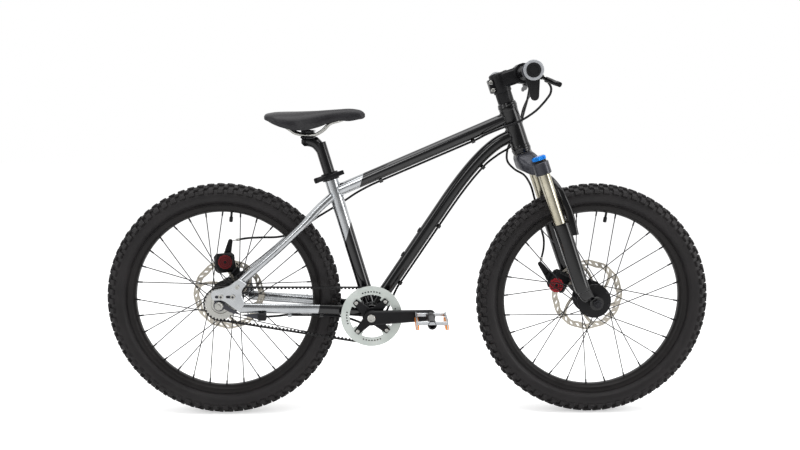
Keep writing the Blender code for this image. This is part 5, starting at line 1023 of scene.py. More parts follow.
def weld(start, way, radius, host_point, host_axis, host_radius, bead=0.0020, ripple_mm=1.9):
    """A rippled ring where a tube meets a larger one.

    Each line along the tube's surface, p + t w, reaches the host where its part square to the host's axis has
    the host's radius: a quadratic in t, of which the root nearer to the start is kept.
    """
    way, axis = unit(np.array(way, float)), unit(np.array(host_axis, float))
    place = frame_at(start, way)
    angle = np.linspace(0, 2 * pi, 181)[:-1]
    points = put(place, np.stack([radius * np.cos(angle), radius * np.sin(angle), np.zeros_like(angle)], 1))
    flat = (points - host_point) - ((points - host_point) @ axis)[:, None] * axis
    way_flat = way - (way @ axis) * axis
    a, b = way_flat @ way_flat, 2 * flat @ way_flat
    c = np.sum(flat ** 2, 1) - (host_radius + 0.0002) ** 2
    t = (-b - np.sqrt(np.maximum(b ** 2 - 4 * a * c, 0))) / (2 * a)
    ring = points + t[:, None] * way
    outward = unit(points - np.array(start))
    tangent = unit(np.roll(ring, -1, 0) - np.roll(ring, 1, 0))
    other = np.cross(tangent, outward)
    ripples = round(2 * pi * radius / (ripple_mm * MM))
    size = bead * (1 + 0.14 * np.cos(ripples * angle))
    section = rounded(8)
    rings = (ring[:, None] + size[:, None, None] * (section[None, :, :1] * outward[:, None]
                                                   + section[None, :, 1:] * other[:, None]))
    return surface(rings, closed=True)


def clip(place):
    """A cable guide: a short sleeve."""
    return collar([(0.0031, -0.004), (0.0050, -0.004), (0.0050, 0.004), (0.0031, 0.004)], 0.0005, place, 24)


def beside(start, end, share, radius, side):
    """A frame for a guide beside the tube from start to end, at a share of its length."""
    way = unit(end - start)
    off = unit(np.array(side) - np.dot(side, way) * way)
    return frame_at(start + share * (end - start) + (radius + 0.0034) * off, way)


# The tubes' radii, and the heights on the seat's and the steering's axes where their middle lines end.
HEAD_RADIUS, TOP_RADIUS, DOWN_RADIUS, SEAT_RADIUS, SHELL_RADIUS = 0.0195, 0.01325, 0.014, 0.0145, 0.0205
TOP_AT_SEAT, TOP_AT_HEAD, DOWN_AT_HEAD = 0.2743, 0.4376, 0.3994
HEAD_LOW, HEAD_HIGH, HEAD_LIP = 0.3668, 0.4577, 0.0202
head_profile = [(0.0165, HEAD_LOW), (HEAD_LIP, HEAD_LOW), (HEAD_LIP, HEAD_LOW + 0.005),
                (HEAD_RADIUS, HEAD_LOW + 0.0065), (HEAD_RADIUS, HEAD_HIGH - 0.0065),
                (HEAD_LIP, HEAD_HIGH - 0.005), (HEAD_LIP, HEAD_HIGH), (0.0165, HEAD_HIGH)]
piece("head_tube_shell", [collar(head_profile, 0.0006, STEER, TUBE_SIDES)], GLOSS_BLACK, "frame", "head_tube")

top_start, top_end = put(SEAT, (0, 0, TOP_AT_SEAT)), put(STEER, (0, 0, TOP_AT_HEAD))
TOP_CLIPS = [beside(top_start, top_end, share, TOP_RADIUS, -UP) for share in (0.77, 0.245)]
top_way = unit(top_end - top_start)
top_line = np.linspace(top_start + 0.010 * top_way, top_end - 0.014 * top_way, 12)
top_parts = [swept(top_line, TOP_RADIUS, sides=TUBE_SIDES),
             weld(top_start + 0.05 * top_way, -top_way, 0.0128, top_start, SEAT[:3, 2], SEAT_RADIUS),
             weld(top_end - 0.05 * top_way, top_way, 0.0128, top_end, STEER[:3, 2], HEAD_RADIUS)]
piece("top_tube_skin", top_parts + [clip(place) for place in TOP_CLIPS], TOP_TUBE_TONES, "frame", "top_tube")

DOWN_SLOPES = 56.3, 25.9
rise, lead = (np.array([cos(radians(slope)), 0.0, sin(radians(slope))]) for slope in DOWN_SLOPES)
down_head = put(STEER, (0, 0, DOWN_AT_HEAD))
away = down_head - BB
corner = BB + rise * ((away[0] * lead[2] - away[2] * lead[0]) / (rise[0] * lead[2] - rise[2] * lead[0]))
bend_start, bend_end = BB + rise * 0.290, down_head - lead * 0.030


def bend(t):
    """A quadratic Bezier: (1-t)^2 start + 2t(1-t) corner + t^2 end."""
    t = np.asarray(t, float)[:, None]
    return (1 - t) ** 2 * bend_start + 2 * t * (1 - t) * corner + t ** 2 * bend_end


coarse_bend = bend([0.0, 0.33, 0.67, 1.0])
DOWN_CORNERS = np.concatenate([[BB], coarse_bend, [down_head]])
DOWN_CLIPS = [beside(DOWN_CORNERS[i], DOWN_CORNERS[i + 1], share, DOWN_RADIUS, -UP)
              for i, share in ((2, 0.5), (0, 0.817), (0, 0.296))]
down_path = np.concatenate([np.linspace(BB + rise * 0.018, bend_start, 12)[:-1], bend(np.linspace(0, 1, 26)),
                            np.linspace(bend_end, down_head - lead * 0.014, 5)[1:]])
down_parts = [swept(down_path, DOWN_RADIUS, sides=TUBE_SIDES),
              weld(bend_end - lead * 0.02, lead, 0.0136, down_head, STEER[:3, 2], HEAD_RADIUS),
              weld(BB + rise * 0.06, -rise, 0.0136, BB, LEFT, SHELL_RADIUS)]
boss_way = np.cross(rise, LEFT)
boss_way *= -np.sign(boss_way[0])
for distance in (0.1425, 0.2065):
    seat_face = frame_at(BB + rise * distance, boss_way)
    down_parts.append(turned(eased([(0.0060, 0.0120), (0.0060, 0.0160), (0.0028, 0.0160), (0.0026, 0.0130)],
                                   0.0004), seat_face, 32))
piece("down_tube_skin", down_parts + [clip(place) for place in DOWN_CLIPS], GLOSS_BLACK, "frame", "down_tube")

SEAT_TUBE_TOP = 0.3165
seat_profile = [(0.0131, 0.018), (SEAT_RADIUS, 0.018), (SEAT_RADIUS, SEAT_TUBE_TOP), (0.0131, SEAT_TUBE_TOP)]
seat_parts = [collar(seat_profile, 0.0003, SEAT, TUBE_SIDES),
              weld(BB + SEAT[:3, 2] * 0.06, -SEAT[:3, 2], 0.0141, BB, LEFT, SHELL_RADIUS)]
piece("seat_tube_skin", seat_parts, SEAT_TUBE_TONES, "frame", "seat_tube")

shell = [(0.0092, -0.038), (0.0192, -0.038), (0.0192, -0.034), (SHELL_RADIUS, -0.034),
         (SHELL_RADIUS, 0.034), (0.0192, 0.034), (0.0192, 0.038), (0.0092, 0.038)]
piece("bottom_bracket_skin", [collar(shell, 0.0006, about(BB))], GLOSS_BLACK, "frame",
      "bottom_bracket_shell")

# %% [markdown]
# Each bearing cup stands out a little from the head tube, with a groove that catches the light.

# %% Headset
for name, end, way in (("lower", HEAD_LOW, -1), ("upper", HEAD_HIGH, 1)):
    face = end + way * 0.0003
    cup = [(0.0151, face), (0.0209, face), (0.0209, face + way * 0.0045), (0.0200, face + way * 0.0052),
           (0.0204, face + way * 0.0062), (0.0192, face + way * 0.0105), (0.0151, face + way * 0.0105)]
    piece("headset_cup_" + name, [collar(cup, 0.0005, STEER)], GLOSS_BLACK, "frame",
          "headset_" + name + "_cup")
race = [(0.0150, 0.3546), (0.0206, 0.3546), (0.0206, 0.3557), (0.0150, 0.3557)]
piece("crown_race", [turned(race, STEER, 64, closed=True)], BRIGHT_STEEL, "steering")

# %% [markdown]
# ## Rear end
# The stays are drawn tubes, oval below and round above, bent round the tyre. They end in thick
# plates with two slots, where the axle's holder slides back and forth to tighten the belt.

# %% Stays and dropouts
# The stays' middle lines, from the rear axle forward, to the left and above the ground. The plate's outline
# is given as (x, z) from the axle.
CHAINSTAY = [(0.044, 0.0680, 0.2500), (0.070, 0.0630, 0.2480), (0.150, 0.0525, 0.2445),
             (0.209, 0.0430, 0.2415), (0.245, 0.0365, 0.2385), (0.285, 0.0285, 0.2335),
             (0.312, 0.0240, 0.2300)]
SEATSTAY = [(0.0420, 0.0617, 0.3010), (0.0640, 0.0617, 0.3210), (0.0850, 0.0590, 0.3395),
            (0.1228, 0.0520, 0.3724), (0.1520, 0.0470, 0.3995), (0.1790, 0.0415, 0.4250),
            (0.2110, 0.0270, 0.4580), (0.2370, 0.0150, 0.4815)]
DROPOUT = [(-0.0161, 0.0282), (-0.0118, 0.0336), (0.0073, 0.0378), (0.0242, 0.0442), (0.0349, 0.0528),
           (0.0435, 0.0582), (0.0601, 0.0474), (0.0490, 0.0345), (0.0490, 0.0216), (0.0540, 0.0065),
           (0.0462, -0.0151), (0.0274, -0.0021), (0.0150, 0.0077), (0.0067, 0.0120), (-0.0123, 0.0120),
           (-0.0163, 0.0196)]
CHAINSTAY_HALVES, SEATSTAY_RADIUS = (0.0107, 0.0062), 0.0085
PLATE_Y, PLATE_THICKNESS, SLOT_HEIGHT = 0.0705, 0.005, 0.020
AT_REAR = moved(*REAR_AXLE)
RIGHT_CORNERS = from_rear(np.array(CHAINSTAY) * (1, -1, 1))
STAY_CLIPS = [beside(RIGHT_CORNERS[i], RIGHT_CORNERS[i + 1], share, 0.01027, -UP)
              for i, share in ((3, 0.17), (1, 0.97))]


def cut_from(target, parts):
    """Takes parts out of a piece with an exact Boolean, and keeps the result as its mesh."""
    cutter = piece("cutter", parts, BRIGHT_STEEL, None)
    modifier = target.modifiers.new("cut", "BOOLEAN")
    modifier.operation, modifier.object = "DIFFERENCE", cutter
    bpy.context.view_layer.update()
    cut_mesh = bpy.data.meshes.new_from_object(target.evaluated_get(bpy.context.evaluated_depsgraph_get()))
    target.modifiers.clear()
    target.data = cut_mesh
    bpy.data.objects.remove(cutter, do_unlink=True)
    target.data.set_sharp_from_angle(angle=radians(SHARP))


for side, sign in (("right", -1), ("left", 1)):
    mirror = np.array([1, sign, 1])
    low_path = smooth(from_rear(np.array(CHAINSTAY) * mirror), 8)
    parts = [swept(low_path, *CHAINSTAY_HALVES, sides=40, power=2.3)]
    if side == "right":
        parts += [clip(place) for place in STAY_CLIPS]
    piece("chainstay_tube_" + side, parts, CHAINSTAY_TONES, "frame", "chainstay_" + side)
    plate_low, plate_high = sorted((sign * PLATE_Y, sign * (PLATE_Y + PLATE_THICKNESS)))
    outline = prism(eased(DROPOUT, 0.0022, True), plate_low, plate_high, 0.0007, AT_REAR)
    plate = piece("dropout_" + side, [outline], RAW_SILVER, "frame")
    cut_from(plate, [prism(link((a, SLOT_HEIGHT), (b, SLOT_HEIGHT), 0.003, 0.003), plate_low - 0.001,
                           plate_high + 0.001, 0, AT_REAR) for a, b in ((-0.0049, 0.0060), (0.0183, 0.0310))])
    high_path = smooth(from_rear(np.array(SEATSTAY) * mirror), 8)
    piece("seatstay_tube_" + side, [swept(high_path, SEATSTAY_RADIUS, sides=40)], RAW_SILVER, "frame",
          "seatstay_" + side)
    face = PLATE_Y + PLATE_THICKNESS
    head = AT_REAR @ moved(0.040, sign * face, 0.041) @ OUTWARD[sign]
    piece("stay_bolt_" + side, [bolt(head, 0.0046, 0.0028)], BRIGHT_STEEL, "frame")
    # The sliders take the dark gunmetal finish, which stands in for the shade inside the dropout's slots:
    # painted shade.
    eased_copy("axle_slider_" + side, GUNMETAL, 0.0004)
    for x, which in ((0.005, "_rear"), (0.030, "_front")):
        head = AT_REAR @ moved(x, sign * (face + 0.0005), SLOT_HEIGHT) @ OUTWARD[sign]
        piece("slider_bolt_" + side + which, [bolt(head, 0.0050, 0.0030)], BRIGHT_STEEL, "frame")
cover = block((0.0178, 0.0128, 0.0158), (0.0905, -0.0705, -0.0240), 0.0022, AT_REAR)
piece("shift_box_cover", [cover], BLACK_PLASTIC, "frame")

# %% [markdown]
# ## Brakes
# The calipers are castings held by bolts. On each, a red knob sets the inner pad and an arm is
# pulled by the cable. The knob's rim has shallow scallops for the fingers, so its radius is a
# cosine of the angle.

# %% Calipers, arms and knobs


def scalloped(centre, radius, depth, count, low, high, bevel=0.0008):
    """A knob along Y: r = radius - depth (1 + cos(n a))/2, its two faces drawn in by a bevel."""
    a = np.linspace(0, 2 * pi, count * 10, endpoint=False)
    r = radius - depth * (0.5 + 0.5 * np.cos(count * a))
    levels = ((low, bevel), (low + bevel, 0), (high - bevel, 0), (high, bevel))
    rings = [np.stack([centre[0] + (r - inset) * np.cos(a), np.full_like(a, y),
                       centre[2] + (r - inset) * np.sin(a)], -1) for y, inset in levels]
    return surface(rings)


BRAKES = {
    # knob's centre, inner face of the knob, arm's pivot and end, arm's inner face, all from the axle
    "rear": (REAR_AXLE, (-0.005, 0.075), 0.0422, (-0.006, 0.078), (0.004, 0.119), 0.0598),
    "front": (FRONT_AXLE, (-0.0722, 0.0237), 0.0307, (-0.0840, 0.0400), (-0.1060, 0.0690), 0.0476),
}
for side, (centre, knob_at, knob_face, arm_from, arm_to, arm_face) in BRAKES.items():
    body = "frame" if side == "rear" else "lowers"
    eased_copy(side + "_caliper", SATIN_BLACK, 0.0008)
    middle = centre + np.array([knob_at[0], 0, knob_at[1]])
    knob = [scalloped(middle, 0.0165, 0.0012, 12, knob_face - 0.0035, knob_face)]
    # The rear knob takes the darker red, which is painted shade.
    piece(side + "_pad_dial", knob, SHADED_RED_ANODISED if side == "rear" else RED_ANODISED, side + "_pad_knob",
          side + "_pad_knob")
    outside = frame_at(middle + LEFT * (knob_face - 0.0034), -LEFT, (1, 0, 0))
    rings = [turned([(r - 0.0006, 0), (r - 0.0006, 0.0005), (r + 0.0006, 0.0005), (r + 0.0006, 0)],
                    outside, 40, closed=True) for r in (0.0072, 0.0112)]
    piece(side + "_dial_centre", rings + [bolt(outside, 0.0036, 0.0012)], SATIN_BLACK, side + "_pad_knob")
    arm = prism(link(arm_from, arm_to, 0.0095, 0.0050), arm_face, arm_face + 0.004, 0.0010, moved(*centre))
    piece(side + "_pull_arm", [arm], SATIN_BLACK, side + "_caliper_arm", side + "_caliper_arm")
    pins = [bolt(moved(*centre) @ moved(at[0], arm_face + 0.0035, at[1]) @ OUTWARD[1], size, 0.0024)
            for at, size in ((arm_from, 0.0055), (arm_to, 0.0034))]
    piece(side + "_arm_bolts", pins, BRIGHT_STEEL, side + "_caliper_arm")

# %% [markdown]
# ## Seat
# The saddle is foam on a nylon base, covered with vinyl that is pulled tight and stapled
# underneath. Tight vinyl has no folds, so the form is modelled directly: a crowned section that
# narrows to the nose. The stations hold its width, top and lower edge, and cubic steps between them
# keep it smooth.

# %% Saddle
SADDLE_STATIONS = [
    # distance in front of the rear axle, half width, top, lower edge of the skirt
    (0.0967, 0.036, 0.6562, 0.6500), (0.0984, 0.0435, 0.6586, 0.6470), (0.1016, 0.0485, 0.6600, 0.6452),
    (0.1060, 0.052, 0.6610, 0.6435), (0.1200, 0.0625, 0.6632, 0.6365),
    (0.1380, 0.0655, 0.6640, 0.6300), (0.1600, 0.0600, 0.6643, 0.6250), (0.1830, 0.0470, 0.6650, 0.6245),
    (0.2060, 0.0345, 0.6660, 0.6295), (0.2280, 0.0265, 0.6675, 0.6380), (0.2500, 0.0225, 0.6690, 0.6445),
    (0.2750, 0.0205, 0.6705, 0.6435), (0.2950, 0.0168, 0.6682, 0.6470), (0.3040, 0.0128, 0.6642, 0.6486),
    (0.3085, 0.0080, 0.6592, 0.6525),
]


def saddle_rings(stations, shrink=1.0):
    """Sections across the saddle: a crowned top, sides that pull in, and a flat underside.

    Across, y = w |cos|^0.72 with the sign of cos. Up, z = edge + h (0.14 + 0.86 sin^0.80), with a shallow
    dip along the middle.
    """
    x, half, top, edge = (column[:, None] for column in stations.T)
    height = top - edge
    a = np.radians(np.linspace(4, 176, 49))
    across = np.sign(np.cos(a)) * abs(np.cos(a)) ** 0.72
    dip = 0.0009 * np.exp(-(across / 0.22) ** 2)
    y_top = half * shrink * across
    z_top = edge + height * (0.14 + 0.86 * np.sin(a) ** 0.80) - dip
    b = np.linspace(-1, 1, 21)
    y_under = half * shrink * 0.93 * b * np.ones_like(x)
    z_under = edge + np.minimum(0.010, 0.42 * height) * (1 - abs(b) ** 6)
    points = np.concatenate([np.stack([np.broadcast_to(x, y_top.shape), y_top, z_top], -1),
                             np.stack([np.broadcast_to(x, y_under.shape), y_under, z_under], -1)], 1)
    return from_rear(points)


stations = between(SADDLE_STATIONS, 8)
saddle = piece("saddle_cover", [surface(saddle_rings(stations))], VINYL, "seat", "saddle", 60)
inner = stations[(stations[:, 0] > 0.106) & (stations[:, 0] < 0.292)]
base_rings = saddle_rings(inner, 0.80)
base_rings[..., 2] = np.minimum(base_rings[..., 2], base_rings[..., 2].min(1, keepdims=True) + 0.006)
piece("saddle_base", [surface(base_rings)], BLACK_PLASTIC, "seat")

# %% [markdown]
# Two steel rails run under the saddle, in one bent wire. The seatpost's head grips them between two
# plates with one bolt.

# %% Rails, seatpost and clamp
RAIL_RADIUS, POST_RADIUS = 0.0034, 0.0127
HEAD_BLOCKS = [
    # size, distance in front of the rear axle, height, bevel
    ((0.040, 0.022, 0.020), 0.192, 0.5997, 0.006), ((0.030, 0.055, 0.006), 0.187, 0.6092, 0.002),
    ((0.026, 0.0354, 0.0116), 0.187, 0.616, 0.001), ((0.028, 0.055, 0.0045), 0.187, 0.62205, 0.0015),
]
half_rail = [(0.128, 0.0275, 0.6375), (0.148, 0.0245, 0.6265), (0.1595, 0.0226, 0.6185),
             (0.168, 0.022, 0.616), (0.206, 0.022, 0.616), (0.217, 0.0202, 0.6225),
             (0.233, 0.0165, 0.6375), (0.252, 0.0110, 0.6435)]
rail_points = half_rail + [(0.259, 0.0, 0.6455)] + [(x, -y, z) for x, y, z in reversed(half_rail)]
piece("rail_wire", [swept(smooth(from_rear(rail_points), 6), RAIL_RADIUS, sides=20, side=UP)], BRIGHT_STEEL,
      "seat", "saddle_rails")
neck_bend = [(0.2085, 0, 0.5900), (0.2020, 0, 0.5962), (0.1930, 0, 0.6000), (0.1830, 0, 0.6020)]
neck = np.concatenate([put(SEAT, [(0, 0, 0.350), (0, 0, 0.364)]), from_rear(neck_bend)])
post = [turned(eased([(POST_RADIUS, 0.140), (POST_RADIUS, 0.385)], 0.001), SEAT, TUBE_SIDES),
        swept(smooth(neck, 6), 0.0122, 0.0122, 40)]
for size, x, z, bevel in HEAD_BLOCKS:
    post.append(block(size, from_rear((x, 0, z)), bevel))
piece("seatpost_and_head", post, GLOSS_BLACK, "seat", "seatpost")
eased_copy("seat_clamp", SATIN_BLACK, 0.0005)
eased_copy("seat_clamp_lever", SATIN_BLACK, 0.0005)

# %% [markdown]
# ## Fork
# The crown is a casting that joins the steerer to two stanchions. The lowers are one more casting:
# two legs that slide on the stanchions, and an arch over the tyre that keeps them square.

# %% Crown, stanchions and knob
REACH, SPACING = 0.0205, 0.0635
end = SPACING - 0.0060
# across, forward, height along the steering's axis, and the two half sizes
crown_stations = between([(-end, REACH, 0.3172, 0.0160, 0.0124), (-0.046, 0.0120, 0.3215, 0.0185, 0.0140),
                          (-0.024, 0.0005, 0.3372, 0.0208, 0.0175), (0.024, 0.0005, 0.3372, 0.0208, 0.0175),
                          (0.046, 0.0120, 0.3215, 0.0185, 0.0140), (end, REACH, 0.3172, 0.0160, 0.0124)], 8)
section = rounded(40, 4.5)
y, n, s_up, a_half, b_half = (column[:, None] for column in crown_stations.T)
crown_rings = np.stack([n + a_half * section[:, 0], np.broadcast_to(y, (len(y), 40)),
                        s_up + b_half * section[:, 1]], -1)
crown = [surface(put(STEER, crown_rings)),
         turned(eased([(0.0205, 0.3400), (0.0205, 0.3546)], 0.001), STEER, 48),
         turned([(0.01425, 0.3450), (0.01425, 0.5285)], STEER, 40)]
for way in (-1, 1):
    clamp = [(0.01285, 0.3035), (0.0174, 0.3035), (0.0174, 0.3300), (0.01285, 0.3300)]
    crown.append(collar(clamp, 0.0012, STEER @ moved(REACH, way * SPACING, 0), 48))
piece("crown_casting", crown, GUNMETAL, "steering", "fork_crown")
for side, way in (("right", -1), ("left", 1)):
    place = STEER @ moved(REACH, way * SPACING, 0)
    piece("stanchion_tube_" + side, [turned(eased([(0.0127, 0.112), (0.0127, 0.3298)], 0.0005), place, 64)],
          CHAMPAGNE, "steering", "stanchion_" + side)
    if side == "left":
        cap = [(0.0120, 0.3298), (0.0120, 0.3318), (0.0095, 0.3330)]
        piece("stanchion_cap_left", [turned(cap, place, 40)], SATIN_BLACK, "steering")
knob_place = STEER @ moved(REACH, -SPACING, 0)
a = np.linspace(0, 2 * pi, 240, endpoint=False)
knurl = 0.0150 - 0.0009 * (0.5 + 0.5 * np.cos(24 * a))
knob_levels = ((0.3345, 0.0010), (0.3353, 0), (0.3412, 0), (0.3433, 0.0032))
knob_rings = [np.stack([(knurl - inset) * np.cos(a), (knurl - inset) * np.sin(a),
                        np.full_like(a, height)], -1) for height, inset in knob_levels]
piece("lockout_knob", [surface(put(knob_place, knob_rings))], BLUE_ANODISED, "fork_knob", "fork_knob")
under = [(0.0105, 0.3150), (0.0138, 0.3303), (0.0138, 0.3345)]
piece("lockout_cap", [turned(under, knob_place, 40)], SATIN_BLACK, "fork_knob")

# %% [markdown]
# The lowers' legs thin towards the axle and lean inwards to it. Their stations hold a height, a
# reach, a side distance and the two half sizes, and the arch has a path of its own.

# %% Lowers
LEG = [(0.0105, 0.0330, 0.0543, 0.0120, 0.0037), (0.0200, 0.0295, 0.0590, 0.0142, 0.0080),
       (0.0350, 0.0258, 0.0615, 0.0147, 0.0120), (0.0560, 0.0230, 0.0635, 0.0162, 0.0155),
       (0.1810, 0.0223, 0.0635, 0.0172, 0.0165), (0.1870, 0.0215, 0.0635, 0.0160, 0.0155)]
# the arch: forward, across, height, and the two half sizes
ARCH = [(0.0400, -0.0590, 0.1600, 0.0130, 0.0095), (0.0465, -0.0585, 0.1980, 0.0090, 0.0080),
        (0.0455, -0.0550, 0.2350, 0.0080, 0.0070), (0.0430, -0.0450, 0.2620, 0.0070, 0.0065),
        (0.0390, -0.0260, 0.2800, 0.0060, 0.0060), (0.0375, 0.0000, 0.2850, 0.0058, 0.0058)]
arch = np.array(ARCH + [(n, -y, s, a, b) for n, y, s, a, b in reversed(ARCH[:-1])])
arch_path = smooth(arch[:, :3], 8)
share = np.linspace(0, len(arch) - 1, len(arch_path))
arch_a, arch_b = (np.interp(share, np.arange(len(arch)), arch[:, k]) for k in (3, 4))
lowers = [swept(arch_path, arch_b, arch_a, 32, 3.0, (1.0, 0.0, 0.0), STEER)]
for way in (-1, 1):
    s_up, n, y, a_half, b_half = (column[:, None] for column in between(LEG, 10).T)
    section = rounded(48, 2.3)
    rings = np.stack([n + a_half * section[:, 0], way * y + b_half * section[:, 1],
                      np.broadcast_to(s_up, (len(s_up), 48))], -1)
    lowers.append(surface(put(STEER, rings)))
    eye = [(0.0052, 0.0503), (0.0153, 0.0503), (0.0153, 0.0583), (0.0052, 0.0583)]
    lowers.append(collar(np.array(eye) * (1, way), 0.0008, about(FRONT_AXLE), 48))
lowers.append(block((0.030, 0.0084, 0.040), (0.006, 0.0518, 0.0520), 0.002, STEER))
piece("lowers_casting", lowers, GLOSS_BLACK, "lowers", "fork_lowers")
seal = [(0.0129, 0.1868), (0.0158, 0.1868), (0.0158, 0.1905), (0.0140, 0.1925), (0.0129, 0.1925)]
seals = [collar(seal, 0.0004, STEER @ moved(REACH, way * SPACING, 0), 48) for way in (-1, 1)]
piece("wiper_seals", seals, GRIP_RUBBER, "lowers")

# %% [markdown]
# ## Cockpit
# The bar is one tube, thick where the stem holds it and swept back a little. Everything on it is
# placed by a frame whose Z runs out along the bar. Each grip is a rubber sleeve with fine ribs and
# a flange at its inner end, and a pale plastic ring sits round its outer end.

# %% Handlebar, stem and grips
BAR_REACH, BAR_HEIGHT, BAR_HALF = 0.0516, 0.5161, 0.2785
BAR_THICK, BAR_THIN = 0.0159, 0.0111
BEND_START, BEND_END = 0.095, 0.130
BACK_SWEEP, BAR_RISE, LEVER_ANGLE = radians(7.3), radians(1.0), radians(46.0)


def bar_point(y):
    """The bar's middle line: straight, then a bend, then swept back and up in step with the distance out."""
    y = np.asarray(y, float)
    out, length = np.maximum(abs(y) - BEND_START, 0), BEND_END - BEND_START
    along = np.where(out < length, out ** 2 / (2 * length), out - length / 2)
    return np.stack([BAR_REACH - tan(BACK_SWEEP) * along, y, BAR_HEIGHT + tan(BAR_RISE) * along], -1)


def bar_frame(side, distance):
    """A frame on the swept part: Z out along the bar, X forward and down."""
    sign = -1 if side == "right" else 1
    outward = unit(bar_point(sign * BAR_HALF) - bar_point(sign * BEND_END))
    origin = bar_point(sign * BEND_END) + outward * ((distance - BEND_END) / abs(outward[1]))
    forward = np.array([cos(LEVER_ANGLE), 0, -sin(LEVER_ANGLE)])
    return STEER @ frame_at(origin, outward, np.cross(outward, forward))


bar_y = np.linspace(-BAR_HALF, BAR_HALF, 121)
bulge = np.interp(abs(bar_y), [0, 0.029, 0.045, BAR_HALF], [BAR_THICK, BAR_THICK, BAR_THIN, BAR_THIN])
piece("handlebar_tube", [swept(bar_point(bar_y), bulge, sides=48, side=UP, place=STEER)], SATIN_BLACK,
      "steering", "handlebar")
eased_copy("stem", SATIN_BLACK, 0.0009)
stem_bolts = [bolt(STEER @ moved(-0.0205, -0.0150, z) @ OUTWARD[-1], 0.0042, 0.0026)
              for z in (0.5025, 0.5195)]
stem_bolts += [bolt(STEER @ frame_at((BAR_REACH + 0.0205, y, BAR_HEIGHT + z), (1, 0, 0)), 0.0036, 0.0016)
               for y in (-0.014, 0.014) for z in (-0.0105, 0.0105)]
stem_bolts.append(bolt(STEER @ moved(0, 0, 0.5340), 0.0050, 0.0012))
piece("stem_bolts", stem_bolts, BRIGHT_STEEL, "steering")

GRIP_START = 0.1845
GRIP_LENGTH = (BAR_HALF - GRIP_START) / cos(BACK_SWEEP)
for side in ("right", "left"):
    h = np.linspace(0.008, GRIP_LENGTH - 0.004, 160)
    ribs = 0.0142 - 0.0007 * (0.5 + 0.5 * np.cos(2 * pi * h / 0.0035)) ** 2
    flange = [(0.0113, 0.0), (0.0170, 0.0), (0.0172, 0.0008), (0.0172, 0.0028), (0.0142, 0.006)]
    tip = [(0.0142, GRIP_LENGTH + 0.0020), (0.0128, GRIP_LENGTH + 0.0033), (0.0090, GRIP_LENGTH + 0.0033),
           (0.0086, GRIP_LENGTH + 0.0023)]
    profile = np.concatenate([flange, np.stack([ribs, h], 1), tip])
    place = bar_frame(side, GRIP_START)
    piece("grip_sleeve_" + side, [turned(profile, place, 64)], GRIP_RUBBER, "steering", "grip_" + side)
    ring = np.stack([(0.0136, 0.0178, 0.0190, 0.0190, 0.0178, 0.0136),
                     GRIP_LENGTH + np.array([-0.0035, -0.0035, -0.0022, 0.0010, 0.0024, 0.0026])], 1)
    piece("grip_end_ring_" + side, [collar(ring, 0.0003, place)], PALE_PLASTIC, "steering")

# %% [markdown]
# The brake levers turn in their perches, and an adjuster, a small barrel with twelve flats, takes
# up the cable. The shifter has a grey ring on its outer face and a paddle that the thumb pushes.

# %% Levers and shifter
PERCH_START, SHIFTER_START = 0.1330, 0.1515
for side in ("right", "left"):
    eased_copy("brake_perch_" + side, SATIN_BLACK, 0.0006)
    eased_copy("brake_lever_" + side, SATIN_BLACK, 0.0007)
    place = bar_frame(side, PERCH_START)
    adjuster = turned(eased([(0.0050, -0.0120), (0.0058, -0.0110), (0.0058, -0.0040), (0.0048, -0.0030)],
                            0.0004), place @ moved(0.0240, 0, 0), 12)
    pin = bolt(place @ moved(0.036, -0.0052, 0.008) @ OUTWARD[-1], 0.0036, 0.0012)
    piece("lever_adjuster_" + side, [adjuster, pin], BRIGHT_STEEL, "steering")
place = bar_frame("right", SHIFTER_START)
body = [(0.0114, 0.0), (0.0175, 0.0), (0.0193, 0.003), (0.0193, 0.0175), (0.0182, 0.0185), (0.0182, 0.0200),
        (0.0193, 0.0210), (0.0193, 0.0240), (0.0114, 0.0240)]
outlet = turned(eased([(0.0040, -0.012), (0.0048, -0.008), (0.0048, 0.004)], 0.0005),
                place @ moved(0.0093, -0.0160, 0), 24)
piece("shifter_housing", [collar(body, 0.0006, place), outlet], BLACK_PLASTIC, "steering", "shifter_body")
ring = [(0.0150, 0.0238), (0.0193, 0.0238), (0.0194, 0.0246), (0.0186, 0.0256), (0.0150, 0.0256)]
piece("shifter_ring", [collar(ring, 0.0003, place)], GUNMETAL, "steering")
eased_copy("shifter_paddle", BLACK_PLASTIC, 0.0008)

# %% [markdown]
# ## Cables
# Each cable runs in a black housing from the bars to its brake or to the hub, the two rear ones
# through guides on the frame. The routes are chosen points, and a smooth curve goes through them.
# The housings are attached to no body.

# %% Cable housings
HOUSING_RADIUS = 0.0024
REAR_BRAKE_FRONT = [
    (0.6680, -0.1175, 0.7325), (0.6800, -0.110, 0.7250), (0.6890, -0.103, 0.7120), (0.6890, -0.097, 0.7020),
    (0.6830, -0.088, 0.6900), (0.6745, -0.079, 0.6780), (0.6655, -0.068, 0.6670), (0.6540, -0.057, 0.6570),
    (0.6430, -0.047, 0.6490), (0.6300, -0.042, 0.6420), (0.5960, -0.031, 0.6285), (0.5660, -0.016, 0.6150)]
REAR_BRAKE_REAR = [
    (0.286, 0.012, 0.4860), (0.262, 0.024, 0.4690), (0.235, 0.030, 0.4520), (0.199, 0.031, 0.4300),
    (0.165, 0.033, 0.4060), (0.140, 0.0375, 0.3930), (0.118, 0.0430, 0.3870), (0.071, 0.0540, 0.3835),
    (0.040, 0.0590, 0.3810), (0.021, 0.0610, 0.3775)]
SHIFT_FRONT = [
    (0.6417, -0.138, 0.7240), (0.6430, -0.120, 0.7190), (0.6460, -0.090, 0.7060), (0.6485, -0.055, 0.6895),
    (0.6500, -0.010, 0.6680), (0.6500, 0.022, 0.6480), (0.6450, 0.032, 0.6160), (0.6280, 0.027, 0.5900),
    (0.5980, 0.010, 0.5720)]
